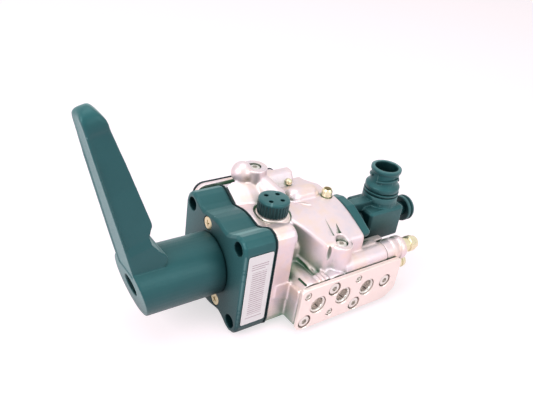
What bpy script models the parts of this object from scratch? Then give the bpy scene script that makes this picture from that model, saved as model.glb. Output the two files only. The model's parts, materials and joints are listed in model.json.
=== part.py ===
"""Air suspension leveling valve with a hand lever, a solenoid and three push-in ports.

Metres, +Z up. The lever turns about X, which is also the axis of the shaft. The origin is the
centre of the bolting face at the front of the black housing: the lever stands out towards -X,
the solenoid towards +X, and the three ports face -Y.
"""

import math

import bmesh
import bpy
from mathutils import Euler, Matrix

MM = 0.001

# Fit between neighbours, and the reach of a cutter past the face that it opens
GAP = 0.3 * MM
PAST = 1.0 * MM

# Four-lobed outline shared by the housing, its gasket and the body's flange
BOLT_OFFSET = 27.0 * MM
BOLT_HOLE_RADIUS = 4.5 * MM
TAPPED_HOLE_RADIUS = 3.4 * MM
LOBE_RADIUS = 8.0 * MM
CREST_RADIUS = 31.5 * MM
NOTCH_HALF_WIDTH = 13.5 * MM

# Stations along the axis
HOUSING_DEPTH = 21.7 * MM
GASKET_THICKNESS = 0.7 * MM
FLANGE_THICKNESS = 13.5 * MM
FLANGE_FRONT = HOUSING_DEPTH + GASKET_THICKNESS + 2 * GAP
FLANGE_BACK = FLANGE_FRONT + FLANGE_THICKNESS

# Lever, measured in its own leaning frame: along the arm, across it and through its depth
HUB_RADIUS = 20.0 * MM
HUB_LENGTH = 53.3 * MM
LEVER_LEAN = math.radians(15.5)
ARM_LENGTH = 117.0 * MM
ARM_TIP_RADIUS = 8.3 * MM
ARM_ROOT_HALF_WIDTH = 12.0 * MM
ARM_ROOT_LENGTH = 33.0 * MM
ARM_TIP_DEPTH = 12.5 * MM
ARM_TOP_DEPTH = 8.3 * MM
ARM_CHAMFER = 7.4 * MM
ARM_TIP_EASE = 5.0 * MM
ARM_KNOB_RADIUS = 5.0 * MM
ARM_KNOB_LENGTH = 43.0 * MM
ARM_KNOB_DEPTH = 19.0 * MM
ARM_WAIST_DEPTH = 15.5 * MM
ARM_FOOT_RADIUS = 5.7 * MM
ARM_FOOT_LENGTH = 17.0 * MM
ARM_FOOT_DEPTH = 22.0 * MM
ARM_RIM = 2.4 * MM
ARM_FLANGE = 0.9 * MM
SIDE_POCKET_DEPTH = 1.0 * MM
FACE_POCKET_DEPTH = 0.6 * MM
LEVER_SCREW_HEAD_RADIUS = 5.0 * MM
LEVER_SCREW_HEAD_LENGTH = 4.8 * MM
LEVER_SCREW_RADIUS = 2.9 * MM
LEVER_SCREW_LENGTH = 18.0 * MM
LEVER_SCREW_RECESS_RADIUS = 7.0 * MM
LEVER_SCREW_RECESS_DEPTH = 9.0 * MM
HUB_WEB = 6.0 * MM

# Shaft and what turns with it
SHAFT_RADIUS = 6.0 * MM
CAVITY_RADIUS = 20.5 * MM
HOUSING_WALL = 5.0 * MM
ORING_SECTION = 0.8 * MM
ORING_STATION = 2.6 * MM
CLIP_THICKNESS = 1.2 * MM
CLIP_RADIUS = 8.8 * MM
CLIP_GROOVE_DEPTH = 0.9 * MM
DETENT_STATION = 10.5 * MM
DETENT_THICKNESS = 5.0 * MM
DETENT_RADIUS = 14.0 * MM
DETENT_NOTCH_RADIUS = 2.2 * MM
DETENT_NOTCH_DEPTH = 1.2 * MM
DETENT_STEP = math.radians(22.5)
DETENT_STEPS = 2
DRIVE_PIN_RADIUS = 1.3 * MM
PLUNGER_RADIUS = 2.6 * MM
PLUNGER_LENGTH = 10.0 * MM
PLUNGER_TIP_RADIUS = 1.4 * MM
PLUNGER_SPRING_LENGTH = 5.2 * MM
PLUNGER_SPRING_WIRE = 0.35 * MM
TONGUE_HALF_WIDTH = 1.6 * MM
TONGUE_HALF_HEIGHT = 4.6 * MM
DISC_RADIUS = 18.0 * MM
DISC_THICKNESS = 5.0 * MM
DISC_SPRING_RADIUS = 9.0 * MM
DISC_SPRING_WIRE = 0.8 * MM
DISC_POCKET_RADIUS = 3.2 * MM
DISC_POCKET_CIRCLE = 12.0 * MM
DISC_POCKET_DEPTH = 2.0 * MM
SEAT_THICKNESS = 3.4 * MM
SEAT_STATION = 6.5 * MM
SEAT_HOLE_RADIUS = 2.5 * MM

# Two cross-recess screws in the housing's face, placed across and up from the axis
HOUSING_SCREWS = (("upper", 7.6 * MM, 24.1 * MM), ("lower", -8.7 * MM, -23.0 * MM))
HOUSING_SCREW_HEAD_RADIUS = 4.3 * MM
HOUSING_SCREW_HEAD_DEPTH = 1.6 * MM
HOUSING_SCREW_RADIUS = 2.0 * MM
HOUSING_SCREW_LENGTH = 32.0 * MM

# Label on the near side of the housing
LABEL_HALF_HEIGHT = 25.4 * MM
LABEL_MARGIN = 2.6 * MM
LABEL_WIDTH = 17.4 * MM
LABEL_THICKNESS = 0.2 * MM

# Cast body
CORE_NEAR = 22.0 * MM
CORE_BOTTOM = 31.0 * MM
CORE_TOP = 25.5 * MM
BODY_BACK = 92.0 * MM
FAR_WALL = BOLT_OFFSET + LOBE_RADIUS
NEAR_COLUMN_BACK = 38.5 * MM
FAR_COLUMN_BACK = 44.0 * MM
HUMP_FRONT = 44.0 * MM
HUMP_NEAR = 38.0 * MM
HUMP_EAVE = 18.7 * MM
HUMP_RIDGE = 29.5 * MM
HUMP_SLANT = 17.0 * MM

# Silencer on top
SILENCER_X = 39.0 * MM
SILENCER_Y = -5.0 * MM
SILENCER_BOSS_TOP = 26.4 * MM
SILENCER_BOSS_RADIUS = 13.5 * MM
SILENCER_SEAT_RADIUS = 11.0 * MM
SILENCER_SEAT_THICKNESS = 3.4 * MM
SILENCER_NIPPLE_RADIUS = 4.6 * MM
SILENCER_NIPPLE_WALL = 1.6 * MM
SILENCER_RADIUS = 10.1 * MM
SILENCER_HEIGHT = 10.2 * MM
SILENCER_WALL = 2.0 * MM
SILENCER_KNURLS = 15
SILENCER_VENT_RADIUS = 1.75 * MM
SILENCER_VENT_CIRCLE = 5.5 * MM
SILENCER_VENT_TURN = math.radians(34)

# Port block, its plate and what the plate holds
PORT_FACE = 50.0 * MM
PORT_PLATE_THICKNESS = 3.0 * MM
PORT_SEAL_THICKNESS = 0.5 * MM
PORT_BLOCK_FACE = PORT_FACE - PORT_PLATE_THICKNESS - PORT_SEAL_THICKNESS - 2 * GAP
PLATE_FRONT = 35.5 * MM
PLATE_BACK = 120.0 * MM
PLATE_BOTTOM = 31.4 * MM
PLATE_CORNER_RADIUS = 3.0 * MM
PLATE_CHAMFER = 9.0 * MM
PORT_FIRST = 50.3 * MM
PORT_PITCH = 20.75 * MM
PORT_COUNT = 3
PORT_HEIGHT = -15.2 * MM
PORT_OPENING_RADIUS = 6.3 * MM
PORT_BORE_RADIUS = 8.6 * MM
PORT_DEPTH = 18.0 * MM
COLLET_WALL = 1.6 * MM
COLLET_LENGTH = 9.0 * MM
COLLET_SUNK = 0.9 * MM
COLLET_TRAVEL = 0.8 * MM
GALLERY_Y = -6.0 * MM
GALLERY_RADIUS = 2.5 * MM
FASTENER_RISE = 10.4 * MM
FASTENER_STEP = 10.1 * MM
PLATE_SCREW_HEAD_RADIUS = 4.1 * MM
PLATE_SCREW_HEAD_LENGTH = 2.4 * MM
PLATE_SCREW_RADIUS = 2.0 * MM
PLATE_SCREW_LENGTH = 12.0 * MM
LAST_SCREW_X = 108.0 * MM
DOWEL_RADIUS = 2.4 * MM
DOWEL_LENGTH = 7.5 * MM
BARREL_RADIUS = 9.5 * MM
BARREL_LEAD = 4.3 * MM
BARREL_DROP = 9.0 * MM
BLOCK_TOP = 3.2 * MM

# Pilot barrel beside the port block
PILOT_Y = -38.4 * MM
PILOT_Z = -0.4 * MM
PILOT_BARREL_RADIUS = 7.8 * MM
PILOT_BARREL_BACK = 110.0 * MM
PILOT_BORE_RADIUS = 5.0 * MM
PILOT_BORE_FRONT = 87.0 * MM
PILOT_CAP_LENGTH = 18.0 * MM
PILOT_CAP_RADIUS = 8.3 * MM

# Bosses with a recessed screw
NEAR_BOSS_X = 73.0 * MM
NEAR_BOSS_Y = -36.5 * MM
NEAR_BOSS_TOP = 17.3 * MM
NEAR_BOSS_RADIUS = 7.8 * MM
FAR_BOSS_X = 43.5 * MM
FAR_BOSS_Y = 25.5 * MM
FAR_BOSS_TOP = 46.6 * MM
FAR_BOSS_RADIUS = 8.5 * MM
BOSS_SCREW_HEAD_RADIUS = 3.6 * MM
BOSS_SCREW_HEAD_LENGTH = 3.0 * MM
BOSS_SCREW_RADIUS = 1.9 * MM
BOSS_SCREW_LENGTH = 7.0 * MM
BOSS_SCREW_SUNK = 0.6 * MM

# Far side plate, seal and cover
SIDE_FRONT = 7.0 * MM
SIDE_BACK = 72.0 * MM
SIDE_TOP = 33.5 * MM
SIDE_BOTTOM = 26.0 * MM
SIDE_PLATE_THICKNESS = 3.2 * MM
SIDE_SEAL_THICKNESS = 1.0 * MM
SIDE_COVER_THICKNESS = 4.0 * MM
SIDE_SEAL_LIP = 0.3 * MM
SIDE_COVER_DROP = 3.2 * MM
SIDE_CORNER_RADIUS = 7.0 * MM
SIDE_SCREW_INSET = 7.5 * MM
SIDE_SCREW_HEAD_RADIUS = 3.6 * MM
SIDE_SCREW_RADIUS = 1.9 * MM

# Solenoid behind the body
SOLENOID_Y = -10.0 * MM
SOLENOID_Z = 8.3 * MM
COIL_FLANGE_THICKNESS = 8.5 * MM
COIL_BACK = 142.0 * MM
COIL_HALF_WIDTH = 13.5 * MM
COIL_HEIGHT_UP = 13.0 * MM
COIL_HEIGHT_DOWN = 11.6 * MM
COIL_BOX_FRONT = 110.0 * MM
TUBE_RADIUS = 6.2 * MM
TUBE_WALL = 1.4 * MM
TUBE_INSERTION = 9.0 * MM
TUBE_STANDOUT = 5.0 * MM
TUBE_END_WALL = 3.0 * MM
STUD_RADIUS = 3.0 * MM
NUT_STANDOUT = 7.0 * MM
NUT_THICKNESS = 7.0 * MM
NUT_RADIUS = 9.4 * MM
ARMATURE_SPRING_LENGTH = 13.1 * MM
ARMATURE_SPRING_WIRE = 0.5 * MM
CORE_STOP_LENGTH = 12.0 * MM

# Bayonet connector on top of the coil
CONNECTOR_X = 129.0 * MM
CONNECTOR_NECK_RADIUS = 12.2 * MM
CONNECTOR_COLLAR_BASE = 29.0 * MM
CONNECTOR_COLLAR_RADIUS = 12.2 * MM
CONNECTOR_COLLAR_HEIGHT = 6.5 * MM
CONNECTOR_RING_RADIUS = 10.5 * MM
CONNECTOR_TOP = 48.0 * MM
CONNECTOR_SOCKET_RADIUS = 8.0 * MM
CONNECTOR_SOCKET_DEPTH = 16.0 * MM
CONTACT_RADIUS = 0.8 * MM
CONTACT_CIRCLE = 3.6 * MM
CONTACT_LENGTH = 12.0 * MM
CONTACT_COUNT = 4

# Brass fittings
TEST_POINT_LENGTH = 14.5 * MM
TEST_POINT_RADIUS = 5.6 * MM
SIDE_FITTING_Y = -37.0 * MM
SIDE_FITTING_HEX_RADIUS = 6.6 * MM
SIDE_FITTING_HEX_LENGTH = 7.0 * MM
SIDE_FITTING_TUBE_RADIUS = 4.6 * MM
SIDE_FITTING_LENGTH = 18.0 * MM
TOP_FITTING_X = 86.5 * MM
TOP_FITTING_Y = -1.0 * MM
TOP_FITTING_RADIUS = 3.6 * MM
TOP_FITTING_HEIGHT = 5.0 * MM
FITTING_BORE_RADIUS = 2.4 * MM
FITTING_SHANK = 5.0 * MM

# Turns local Z to the named direction
TURNS = {
    "+X": Euler((0, math.pi / 2, 0)),
    "-X": Euler((0, -math.pi / 2, 0)),
    "+Y": Euler((-math.pi / 2, 0, 0)),
    "-Y": Euler((math.pi / 2, 0, 0)),
    "+Z": Euler((0, 0, 0)),
    "-Z": Euler((math.pi, 0, 0)),
}

# Lays a flat outline across the named axis: (y, z) on X, (x, z) on Y and (x, y) on Z
PLATE_FRAMES = {
    "X": Matrix(((0, 0, 1), (1, 0, 0), (0, 1, 0))),
    "Y": Matrix(((1, 0, 0), (0, 0, -1), (0, 1, 0))),
    "Z": Matrix.Identity(3),
}


# Scene, collections and materials


def empty_scene():
    for obj in list(bpy.data.objects):
        bpy.data.objects.remove(obj)


def new_collection(name):
    made = bpy.data.collections.new(name)
    bpy.context.scene.collection.children.link(made)
    return made


empty_scene()
PARTS = new_collection("leveling_valve")
CUTTERS = new_collection("cutters")


def material(name, color, roughness, metallic):
    made = bpy.data.materials.new(name)
    made.use_nodes = True
    shader = made.node_tree.nodes["Principled BSDF"]
    shader.inputs["Base Color"].default_value = (*color, 1.0)
    shader.inputs["Roughness"].default_value = roughness
    shader.inputs["Metallic"].default_value = metallic
    made.diffuse_color = (*color, 1.0)
    return made


def finish(obj, name, color, roughness, metallic=0.0, parent=None, smooth=30.0):
    """Turns a drawn solid into a named part with a material of its own."""
    obj.name = name
    obj.data.name = name
    obj.data.materials.clear()
    obj.data.materials.append(material(name, color, roughness, metallic))
    obj.data.shade_smooth()
    obj.data.set_sharp_from_angle(angle=math.radians(smooth))
    CUTTERS.objects.unlink(obj)
    PARTS.objects.link(obj)
    obj.hide_render = False
    obj.display_type = "TEXTURED"
    obj.parent = parent
    return obj


BLACK_PLASTIC = (0.012, 0.045, 0.048)
BLACK_RUBBER = (0.008, 0.012, 0.013)
CAST_ALUMINIUM = (0.80, 0.72, 0.73)
MACHINED_ALUMINIUM = (0.82, 0.72, 0.70)
STEEL = (0.62, 0.60, 0.60)
ZINC_PLATE = (0.72, 0.68, 0.62)
BRASS = (0.80, 0.70, 0.42)
PAPER = (0.88, 0.87, 0.88)


def aluminium(obj, name, parent=None):
    return finish(obj, name, CAST_ALUMINIUM, 0.42, 1.0, parent)


def plastic(obj, name, parent=None):
    return finish(obj, name, BLACK_PLASTIC, 0.45, 0.0, parent)


def rubber(obj, name, parent=None):
    return finish(obj, name, BLACK_RUBBER, 0.8, 0.0, parent)


def steel(obj, name, parent=None):
    return finish(obj, name, STEEL, 0.3, 1.0, parent)


def brass(obj, name, parent=None):
    return finish(obj, name, BRASS, 0.3, 1.0, parent)


# Drawing tools


def draw(name, mesh):
    """A solid that is still a guide: it shows as wire until finish makes it a part."""
    obj = bpy.data.objects.new(name, mesh)
    CUTTERS.objects.link(obj)
    obj.hide_render = True
    obj.display_type = "WIRE"
    return obj


def soften(obj, width, segments=1, angle=35.0):
    """Rounds the sharp edges of a drawn solid."""
    bevel = obj.modifiers.new("rounded_edges", "BEVEL")
    bevel.width = width
    bevel.segments = segments
    bevel.limit_method = "ANGLE"
    bevel.angle_limit = math.radians(angle)
    return obj


def join(target, *tools):
    return combine(target, tools, "UNION")


def cut(target, *tools):
    return combine(target, tools, "DIFFERENCE")


def combine(target, tools, operation, solver="EXACT"):
    for tool in tools:
        modifier = target.modifiers.new(tool.name, "BOOLEAN")
        modifier.operation = operation
        modifier.solver = solver
        modifier.object = tool
    return target


def rod(name, at, direction, length, radius, sides=16, end_radius=None):
    """A cylinder, cone or prism that starts at a point and runs along a direction."""
    form = bmesh.new()
    bmesh.ops.create_cone(
        form,
        cap_ends=True,
        segments=sides,
        radius1=radius,
        radius2=radius if end_radius is None else end_radius,
        depth=length,
        matrix=Matrix.Translation((0, 0, length / 2)),
    )
    mesh = bpy.data.meshes.new(name)
    form.to_mesh(mesh)
    form.free()
    obj = draw(name, mesh)
    obj.location = at
    obj.rotation_euler = TURNS[direction]
    return obj


def ball(name, at, radius, segments=14):
    form = bmesh.new()
    bmesh.ops.create_uvsphere(form, u_segments=segments, v_segments=segments // 2, radius=radius)
    mesh = bpy.data.meshes.new(name)
    form.to_mesh(mesh)
    form.free()
    obj = draw(name, mesh)
    obj.location = at
    return obj


def box(name, low, high):
    form = bmesh.new()
    bmesh.ops.create_cube(form, size=1.0)
    size = [b - a for a, b in zip(low, high)]
    bmesh.ops.scale(form, vec=size, verts=form.verts)
    mesh = bpy.data.meshes.new(name)
    form.to_mesh(mesh)
    form.free()
    obj = draw(name, mesh)
    obj.location = [(a + b) / 2 for a, b in zip(low, high)]
    return obj


def turned(name, at, direction, profile, steps=14):
    """A lathe piece: the profile's (radius, height) points run down its outer side."""
    mesh = bpy.data.meshes.new(name)
    points = [(radius, 0, height) for radius, height in profile]
    closed = profile[0][0] > 0
    edges = [(i, i + 1) for i in range(len(points) - 1)]
    if closed:
        edges.append((len(points) - 1, 0))
    mesh.from_pydata(points, edges, [])
    obj = draw(name, mesh)
    obj.location = at
    obj.rotation_euler = TURNS[direction]
    screw = obj.modifiers.new("lathe", "SCREW")
    screw.steps = steps
    screw.render_steps = steps
    screw.use_merge_vertices = True
    screw.merge_threshold = 0.00001
    return obj


def mesh_of(obj):
    """The evaluated mesh of a curve, with its caps welded and flat faces whole again."""
    graph = bpy.context.evaluated_depsgraph_get()
    mesh = bpy.data.meshes.new_from_object(obj.evaluated_get(graph))
    form = bmesh.new()
    form.from_mesh(mesh)
    bmesh.ops.remove_doubles(form, verts=form.verts, dist=0.000002)
    bmesh.ops.dissolve_limit(
        form, angle_limit=math.radians(0.3), verts=form.verts, edges=form.edges
    )
    bmesh.ops.recalc_face_normals(form, faces=form.faces)
    form.to_mesh(mesh)
    form.free()
    return mesh


def plate(name, outline, axis, low, high):
    """A flat outline with a thickness, laid across an axis from low to high."""
    curve = bpy.data.curves.new(name, "CURVE")
    curve.dimensions = "2D"
    curve.fill_mode = "BOTH"
    curve.extrude = (high - low) / 2
    spline = curve.splines.new("POLY")
    spline.points.add(len(outline) - 1)
    for point, (across, up) in zip(spline.points, outline):
        point.co = (across, up, 0, 1)
    spline.use_cyclic_u = True
    flat = bpy.data.objects.new(name, curve)
    PARTS.objects.link(flat)
    mesh = mesh_of(flat)
    bpy.data.objects.remove(flat)
    obj = draw(name, mesh)
    obj.rotation_euler = PLATE_FRAMES[axis].to_euler()
    obj.location["XYZ".index(axis)] = (low + high) / 2
    return obj


def wire(name, points, radius):
    """A round wire along points, as a mesh with welded caps."""
    curve = bpy.data.curves.new(name, "CURVE")
    curve.dimensions = "3D"
    curve.bevel_depth = radius
    curve.bevel_resolution = 1
    curve.use_fill_caps = True
    spline = curve.splines.new("POLY")
    spline.points.add(len(points) - 1)
    for point, place in zip(spline.points, points):
        point.co = (*place, 1)
    line = bpy.data.objects.new(name, curve)
    PARTS.objects.link(line)
    graph = bpy.context.evaluated_depsgraph_get()
    mesh = bpy.data.meshes.new_from_object(line.evaluated_get(graph))
    form = bmesh.new()
    form.from_mesh(mesh)
    bmesh.ops.remove_doubles(form, verts=form.verts, dist=0.000002)
    bmesh.ops.recalc_face_normals(form, faces=form.faces)
    form.to_mesh(mesh)
    form.free()
    bpy.data.objects.remove(line)
    return draw(name, mesh)


def coil(name, at, direction, radius, length, turns, wire_radius, steps=7):
    """A compression spring whose wire stays inside the given length."""
    rise = length - 2 * wire_radius
    count = turns * steps
    points = []
    for i in range(count + 1):
        angle = 2 * math.pi * i / steps
        height = wire_radius + rise * i / count
        points.append((radius * math.cos(angle), radius * math.sin(angle), height))
    obj = wire(name, points, wire_radius)
    obj.location = at
    obj.rotation_euler = TURNS[direction]
    return obj


def arc(across, up, radius, start, end, steps):
    """Points of an arc, with its angles in degrees."""
    points = []
    for i in range(steps + 1):
        angle = math.radians(start + (end - start) * i / steps)
        points.append((across + radius * math.cos(angle), up + radius * math.sin(angle)))
    return points


def rounded_rectangle(left, right, bottom, top, radius, steps=4):
    return (
        arc(right - radius, top - radius, radius, 0, 90, steps)
        + arc(left + radius, top - radius, radius, 90, 180, steps)
        + arc(left + radius, bottom + radius, radius, 180, 270, steps)
        + arc(right - radius, bottom + radius, radius, 270, 360, steps)
    )


def eased_corner(before, corner, after, steps):
    """Points of a soft turn at a corner, tangent to both of its sides."""
    points = []
    for i in range(steps + 1):
        t = i / steps
        blend = ((1 - t) ** 2, 2 * t * (1 - t), t**2)
        points.append(
            tuple(sum(w * p[k] for w, p in zip(blend, (before, corner, after))) for k in (0, 1))
        )
    return points


def toward(start, end, distance):
    span = math.dist(start, end)
    return tuple(a + (b - a) * distance / span for a, b in zip(start, end))


def lobed_outline(grow=0.0):
    """Four bolting lobes round a disc, as (y, z) points."""
    lobe = arc(BOLT_OFFSET, BOLT_OFFSET, LOBE_RADIUS + grow, 0, 120, 4)
    crest_radius = CREST_RADIUS + grow
    notch_angle = math.degrees(math.acos(NOTCH_HALF_WIDTH / crest_radius))
    crest = arc(0, 0, crest_radius, notch_angle, 180 - notch_angle, 6)
    notch = crest[0]
    ease = LOBE_RADIUS / 2
    turn = eased_corner(toward(notch, lobe[-1], ease), notch, toward(notch, crest[1], ease), 2)
    quarter = lobe + turn
    top = quarter + crest[2:-2] + [(-y, z) for y, z in reversed(quarter)]
    return top + [(-y, -z) for y, z in top]


# Lever


def in_arm_frame(obj):
    """Leans a solid drawn upright in front of the hub into the lever's own frame."""
    lean = Matrix.Rotation(-LEVER_LEAN, 4, "Y")
    obj.matrix_world = Matrix.Translation((-HUB_LENGTH, 0, 0)) @ lean @ obj.matrix_basis
    return obj


def arm_side_outline():
    """The arm seen from the ports' side: depth behind its face, then length along it."""
    knob_centre = ARM_KNOB_DEPTH - ARM_KNOB_RADIUS
    foot_centre = ARM_FOOT_DEPTH - ARM_FOOT_RADIUS
    return (
        [(0, 0)]
        + arc(ARM_TIP_EASE, ARM_LENGTH - ARM_TIP_EASE, ARM_TIP_EASE, 180, 90, 4)
        + [(ARM_TOP_DEPTH, ARM_LENGTH), (ARM_TIP_DEPTH, ARM_LENGTH - ARM_CHAMFER)]
        + arc(knob_centre, ARM_KNOB_LENGTH, ARM_KNOB_RADIUS, 12, -42, 5)
        + [(ARM_WAIST_DEPTH, ARM_KNOB_LENGTH - 8 * MM), (ARM_WAIST_DEPTH, ARM_FOOT_LENGTH + 13 * MM)]
        + arc(foot_centre, ARM_FOOT_LENGTH, ARM_FOOT_RADIUS, 55, -65, 7)
        + [(ARM_WAIST_DEPTH, 0)]
    )


def arm_half_width(length):
    """Half the arm's width at a length along it."""
    share = (length - ARM_ROOT_LENGTH) / (ARM_LENGTH - ARM_TIP_RADIUS - ARM_ROOT_LENGTH)
    return ARM_ROOT_HALF_WIDTH + (ARM_TIP_RADIUS - ARM_ROOT_HALF_WIDTH) * share


def arm_front_outline(inset=0.0, root=0.0):
    """The arm seen from its face: width, then length along it."""
    tip = arc(0, ARM_LENGTH - ARM_TIP_RADIUS, ARM_TIP_RADIUS - inset, 0, 180, 10)
    half = ARM_ROOT_HALF_WIDTH - inset
    return [(half, ARM_ROOT_LENGTH)] + tip + [(-half, ARM_ROOT_LENGTH), (-half, root), (half, root)]


def side_pocket(name, side):
    """Hollows a side of the arm behind its front flange, running out at the knob."""
    low, high = ARM_FOOT_LENGTH + 10 * MM, ARM_LENGTH - 1.5 * ARM_TIP_RADIUS
    deep = low + 8 * MM
    outline = [
        (side * (arm_half_width(low) + 0.2 * MM), low),
        (side * (arm_half_width(deep) - SIDE_POCKET_DEPTH), deep),
        (side * (arm_half_width(high) - SIDE_POCKET_DEPTH), high),
        (side * (arm_half_width(high) + SIDE_POCKET_DEPTH), high + 2 * SIDE_POCKET_DEPTH),
        (side * (ARM_ROOT_HALF_WIDTH + 4 * MM), high),
        (side * (ARM_ROOT_HALF_WIDTH + 4 * MM), low),
    ]
    return in_arm_frame(plate(name, outline, "X", ARM_FLANGE, ARM_FOOT_DEPTH + 5 * MM))


def make_lever(axis):
    arm = in_arm_frame(plate("arm_side", arm_side_outline(), "Y", -HUB_RADIUS, HUB_RADIUS))
    face = in_arm_frame(plate("arm_face", arm_front_outline(), "X", -PAST, ARM_FOOT_DEPTH + PAST))
    combine(arm, [face], "INTERSECT")
    soften(arm, 0.8 * MM)
    cut(arm, side_pocket("near_side_pocket", -1), side_pocket("far_side_pocket", 1))
    reach = HUB_LENGTH + HUB_RADIUS * math.tan(LEVER_LEAN) + PAST
    hub = rod("hub", (-reach, 0, 0), "+X", reach - GAP, HUB_RADIUS, 44)
    ahead = box("ahead_of_face", (-HUB_LENGTH, -40 * MM, -60 * MM), (0, 40 * MM, 60 * MM))
    ahead.location = (-HUB_LENGTH / 2, 0, 0)
    cut(hub, in_arm_frame(ahead))
    join(hub, arm)
    web_front = -HUB_LENGTH + LEVER_SCREW_RECESS_DEPTH
    bore_front = web_front + HUB_WEB
    recess = rod(
        "lever_screw_recess", (-reach, 0, 0), "+X", reach + web_front, LEVER_SCREW_RECESS_RADIUS
    )
    clearance = rod(
        "lever_screw_hole", (web_front - PAST, 0, 0), "+X", HUB_WEB + 2 * PAST,
        LEVER_SCREW_RADIUS + GAP,
    )
    bore = rod("hub_bore", (bore_front, 0, 0), "+X", -bore_front + PAST, SHAFT_RADIUS + GAP)
    face_pocket = in_arm_frame(
        plate(
            "face_pocket",
            arm_front_outline(ARM_RIM, LEVER_SCREW_RECESS_RADIUS + 2 * ARM_RIM),
            "X",
            -PAST,
            FACE_POCKET_DEPTH,
        )
    )
    cut(hub, recess, clearance, bore, face_pocket)
    plastic(hub, "lever", axis)

    head_front = web_front - GAP - LEVER_SCREW_HEAD_LENGTH
    screw = socket_screw(
        "lever_screw",
        (head_front, 0, 0),
        "+X",
        LEVER_SCREW_HEAD_RADIUS,
        LEVER_SCREW_HEAD_LENGTH,
        LEVER_SCREW_RADIUS,
        LEVER_SCREW_LENGTH,
    )
    steel(screw, "lever_screw", axis)


def socket_screw(name, at, direction, head_radius, head_length, radius, length):
    """A cylinder-head screw that points along its direction, with a hexagon socket."""
    edge = head_radius * 0.12
    profile = [
        (0, head_length + length),
        (radius, head_length + length),
        (radius, head_length),
        (head_radius, head_length),
        (head_radius, edge),
        (head_radius - edge, 0),
        (0, 0),
    ]
    screw = turned(name, at, direction, profile, 9)
    socket = rod(name + "_socket", at, direction, head_length * 0.6, head_radius * 0.5, 6)
    socket.location -= socket.rotation_euler.to_matrix().col[2] * PAST * 0.1
    return cut(screw, socket)


# Shaft and the pieces that turn with it


def make_shaft(axis):
    front = -HUB_LENGTH + LEVER_SCREW_RECESS_DEPTH + HUB_WEB + GAP
    back = seat_front() - GAP - DISC_THICKNESS - GAP
    clip = HOUSING_WALL + GAP
    groove = ORING_SECTION + GAP
    ring_floor = SHAFT_RADIUS - 2 * ORING_SECTION - GAP
    clip_floor = SHAFT_RADIUS - CLIP_GROOVE_DEPTH
    profile = [
        (0, back),
        (SHAFT_RADIUS, back),
        (SHAFT_RADIUS, clip + CLIP_THICKNESS + 2 * GAP),
        (clip_floor, clip + CLIP_THICKNESS + 2 * GAP),
        (clip_floor, clip),
        (SHAFT_RADIUS, clip),
        (SHAFT_RADIUS, ORING_STATION + groove),
        (ring_floor, ORING_STATION + groove),
        (ring_floor, ORING_STATION - groove),
        (SHAFT_RADIUS, ORING_STATION - groove),
        (SHAFT_RADIUS, front + MM),
        (SHAFT_RADIUS - MM, front),
        (0, front),
    ]
    shaft = turned("shaft_profile", (0, 0, 0), "+X", profile)
    tongue = box(
        "tongue",
        (back - PAST, -TONGUE_HALF_WIDTH, -TONGUE_HALF_HEIGHT),
        (back + DISC_THICKNESS * 0.6, TONGUE_HALF_WIDTH, TONGUE_HALF_HEIGHT),
    )
    hole_depth = LEVER_SCREW_LENGTH - HUB_WEB + PAST
    thread = rod("shaft_thread", (front - PAST, 0, 0), "+X", hole_depth + PAST, LEVER_SCREW_RADIUS + GAP)
    cross = rod(
        "shaft_cross_hole",
        (DETENT_STATION, 0, -SHAFT_RADIUS - PAST),
        "+Z",
        2 * (SHAFT_RADIUS + PAST),
        DRIVE_PIN_RADIUS + GAP,
        12,
    )
    join(shaft, tongue)
    cut(shaft, thread, cross)
    steel(shaft, "lever_shaft", axis)

    ring_radius = SHAFT_RADIUS - ORING_SECTION
    section = arc(ring_radius, ORING_STATION, ORING_SECTION, 90, -210, 5)
    rubber(turned("oring", (0, 0, 0), "+X", section), "shaft_oring", axis)

    inner = clip_floor + GAP
    clip_profile = [
        (CLIP_RADIUS, clip + GAP + CLIP_THICKNESS),
        (CLIP_RADIUS, clip + GAP),
        (inner, clip + GAP),
        (inner, clip + GAP + CLIP_THICKNESS),
    ]
    ring = turned("clip_ring", (0, 0, 0), "+X", clip_profile)
    mouth = box(
        "clip_mouth", (clip, -1.8 * MM, -CLIP_RADIUS - PAST), (clip + 3 * MM, 1.8 * MM, -2 * MM)
    )
    steel(cut(ring, mouth), "shaft_clip", axis)


def detent_angles():
    return [DETENT_STEP * i for i in range(-DETENT_STEPS, DETENT_STEPS + 1)]


def make_detent_disc(axis):
    front = DETENT_STATION - DETENT_THICKNESS / 2
    disc = rod("disc", (front, 0, 0), "+X", DETENT_THICKNESS, DETENT_RADIUS, 26)
    hole = rod("disc_hole", (front - PAST, 0, 0), "+X", DETENT_THICKNESS + 2 * PAST, SHAFT_RADIUS + GAP)
    pin_top = DETENT_RADIUS - DETENT_NOTCH_DEPTH - 1.4 * MM
    pin_hole = rod(
        "disc_pin_hole",
        (DETENT_STATION, 0, -DETENT_RADIUS - PAST),
        "+Z",
        DETENT_RADIUS + PAST + pin_top,
        DRIVE_PIN_RADIUS + GAP,
        12,
    )
    cut(disc, hole, pin_hole)
    centre = DETENT_RADIUS - DETENT_NOTCH_DEPTH + DETENT_NOTCH_RADIUS
    for i, angle in enumerate(detent_angles()):
        place = (front - PAST, centre * math.sin(angle), centre * math.cos(angle))
        notch = rod(f"notch_{i}", place, "+X", DETENT_THICKNESS + 2 * PAST, DETENT_NOTCH_RADIUS, 10)
        cut(disc, notch)
    steel(disc, "detent_disc", axis)
    pin_bottom = DETENT_RADIUS - 2 * MM
    pin = rod(
        "pin", (DETENT_STATION, 0, -pin_bottom), "+Z", pin_bottom + pin_top - GAP, DRIVE_PIN_RADIUS, 12
    )
    steel(pin, "drive_pin", axis)


def seat_front():
    return FLANGE_FRONT + SEAT_STATION


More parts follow.
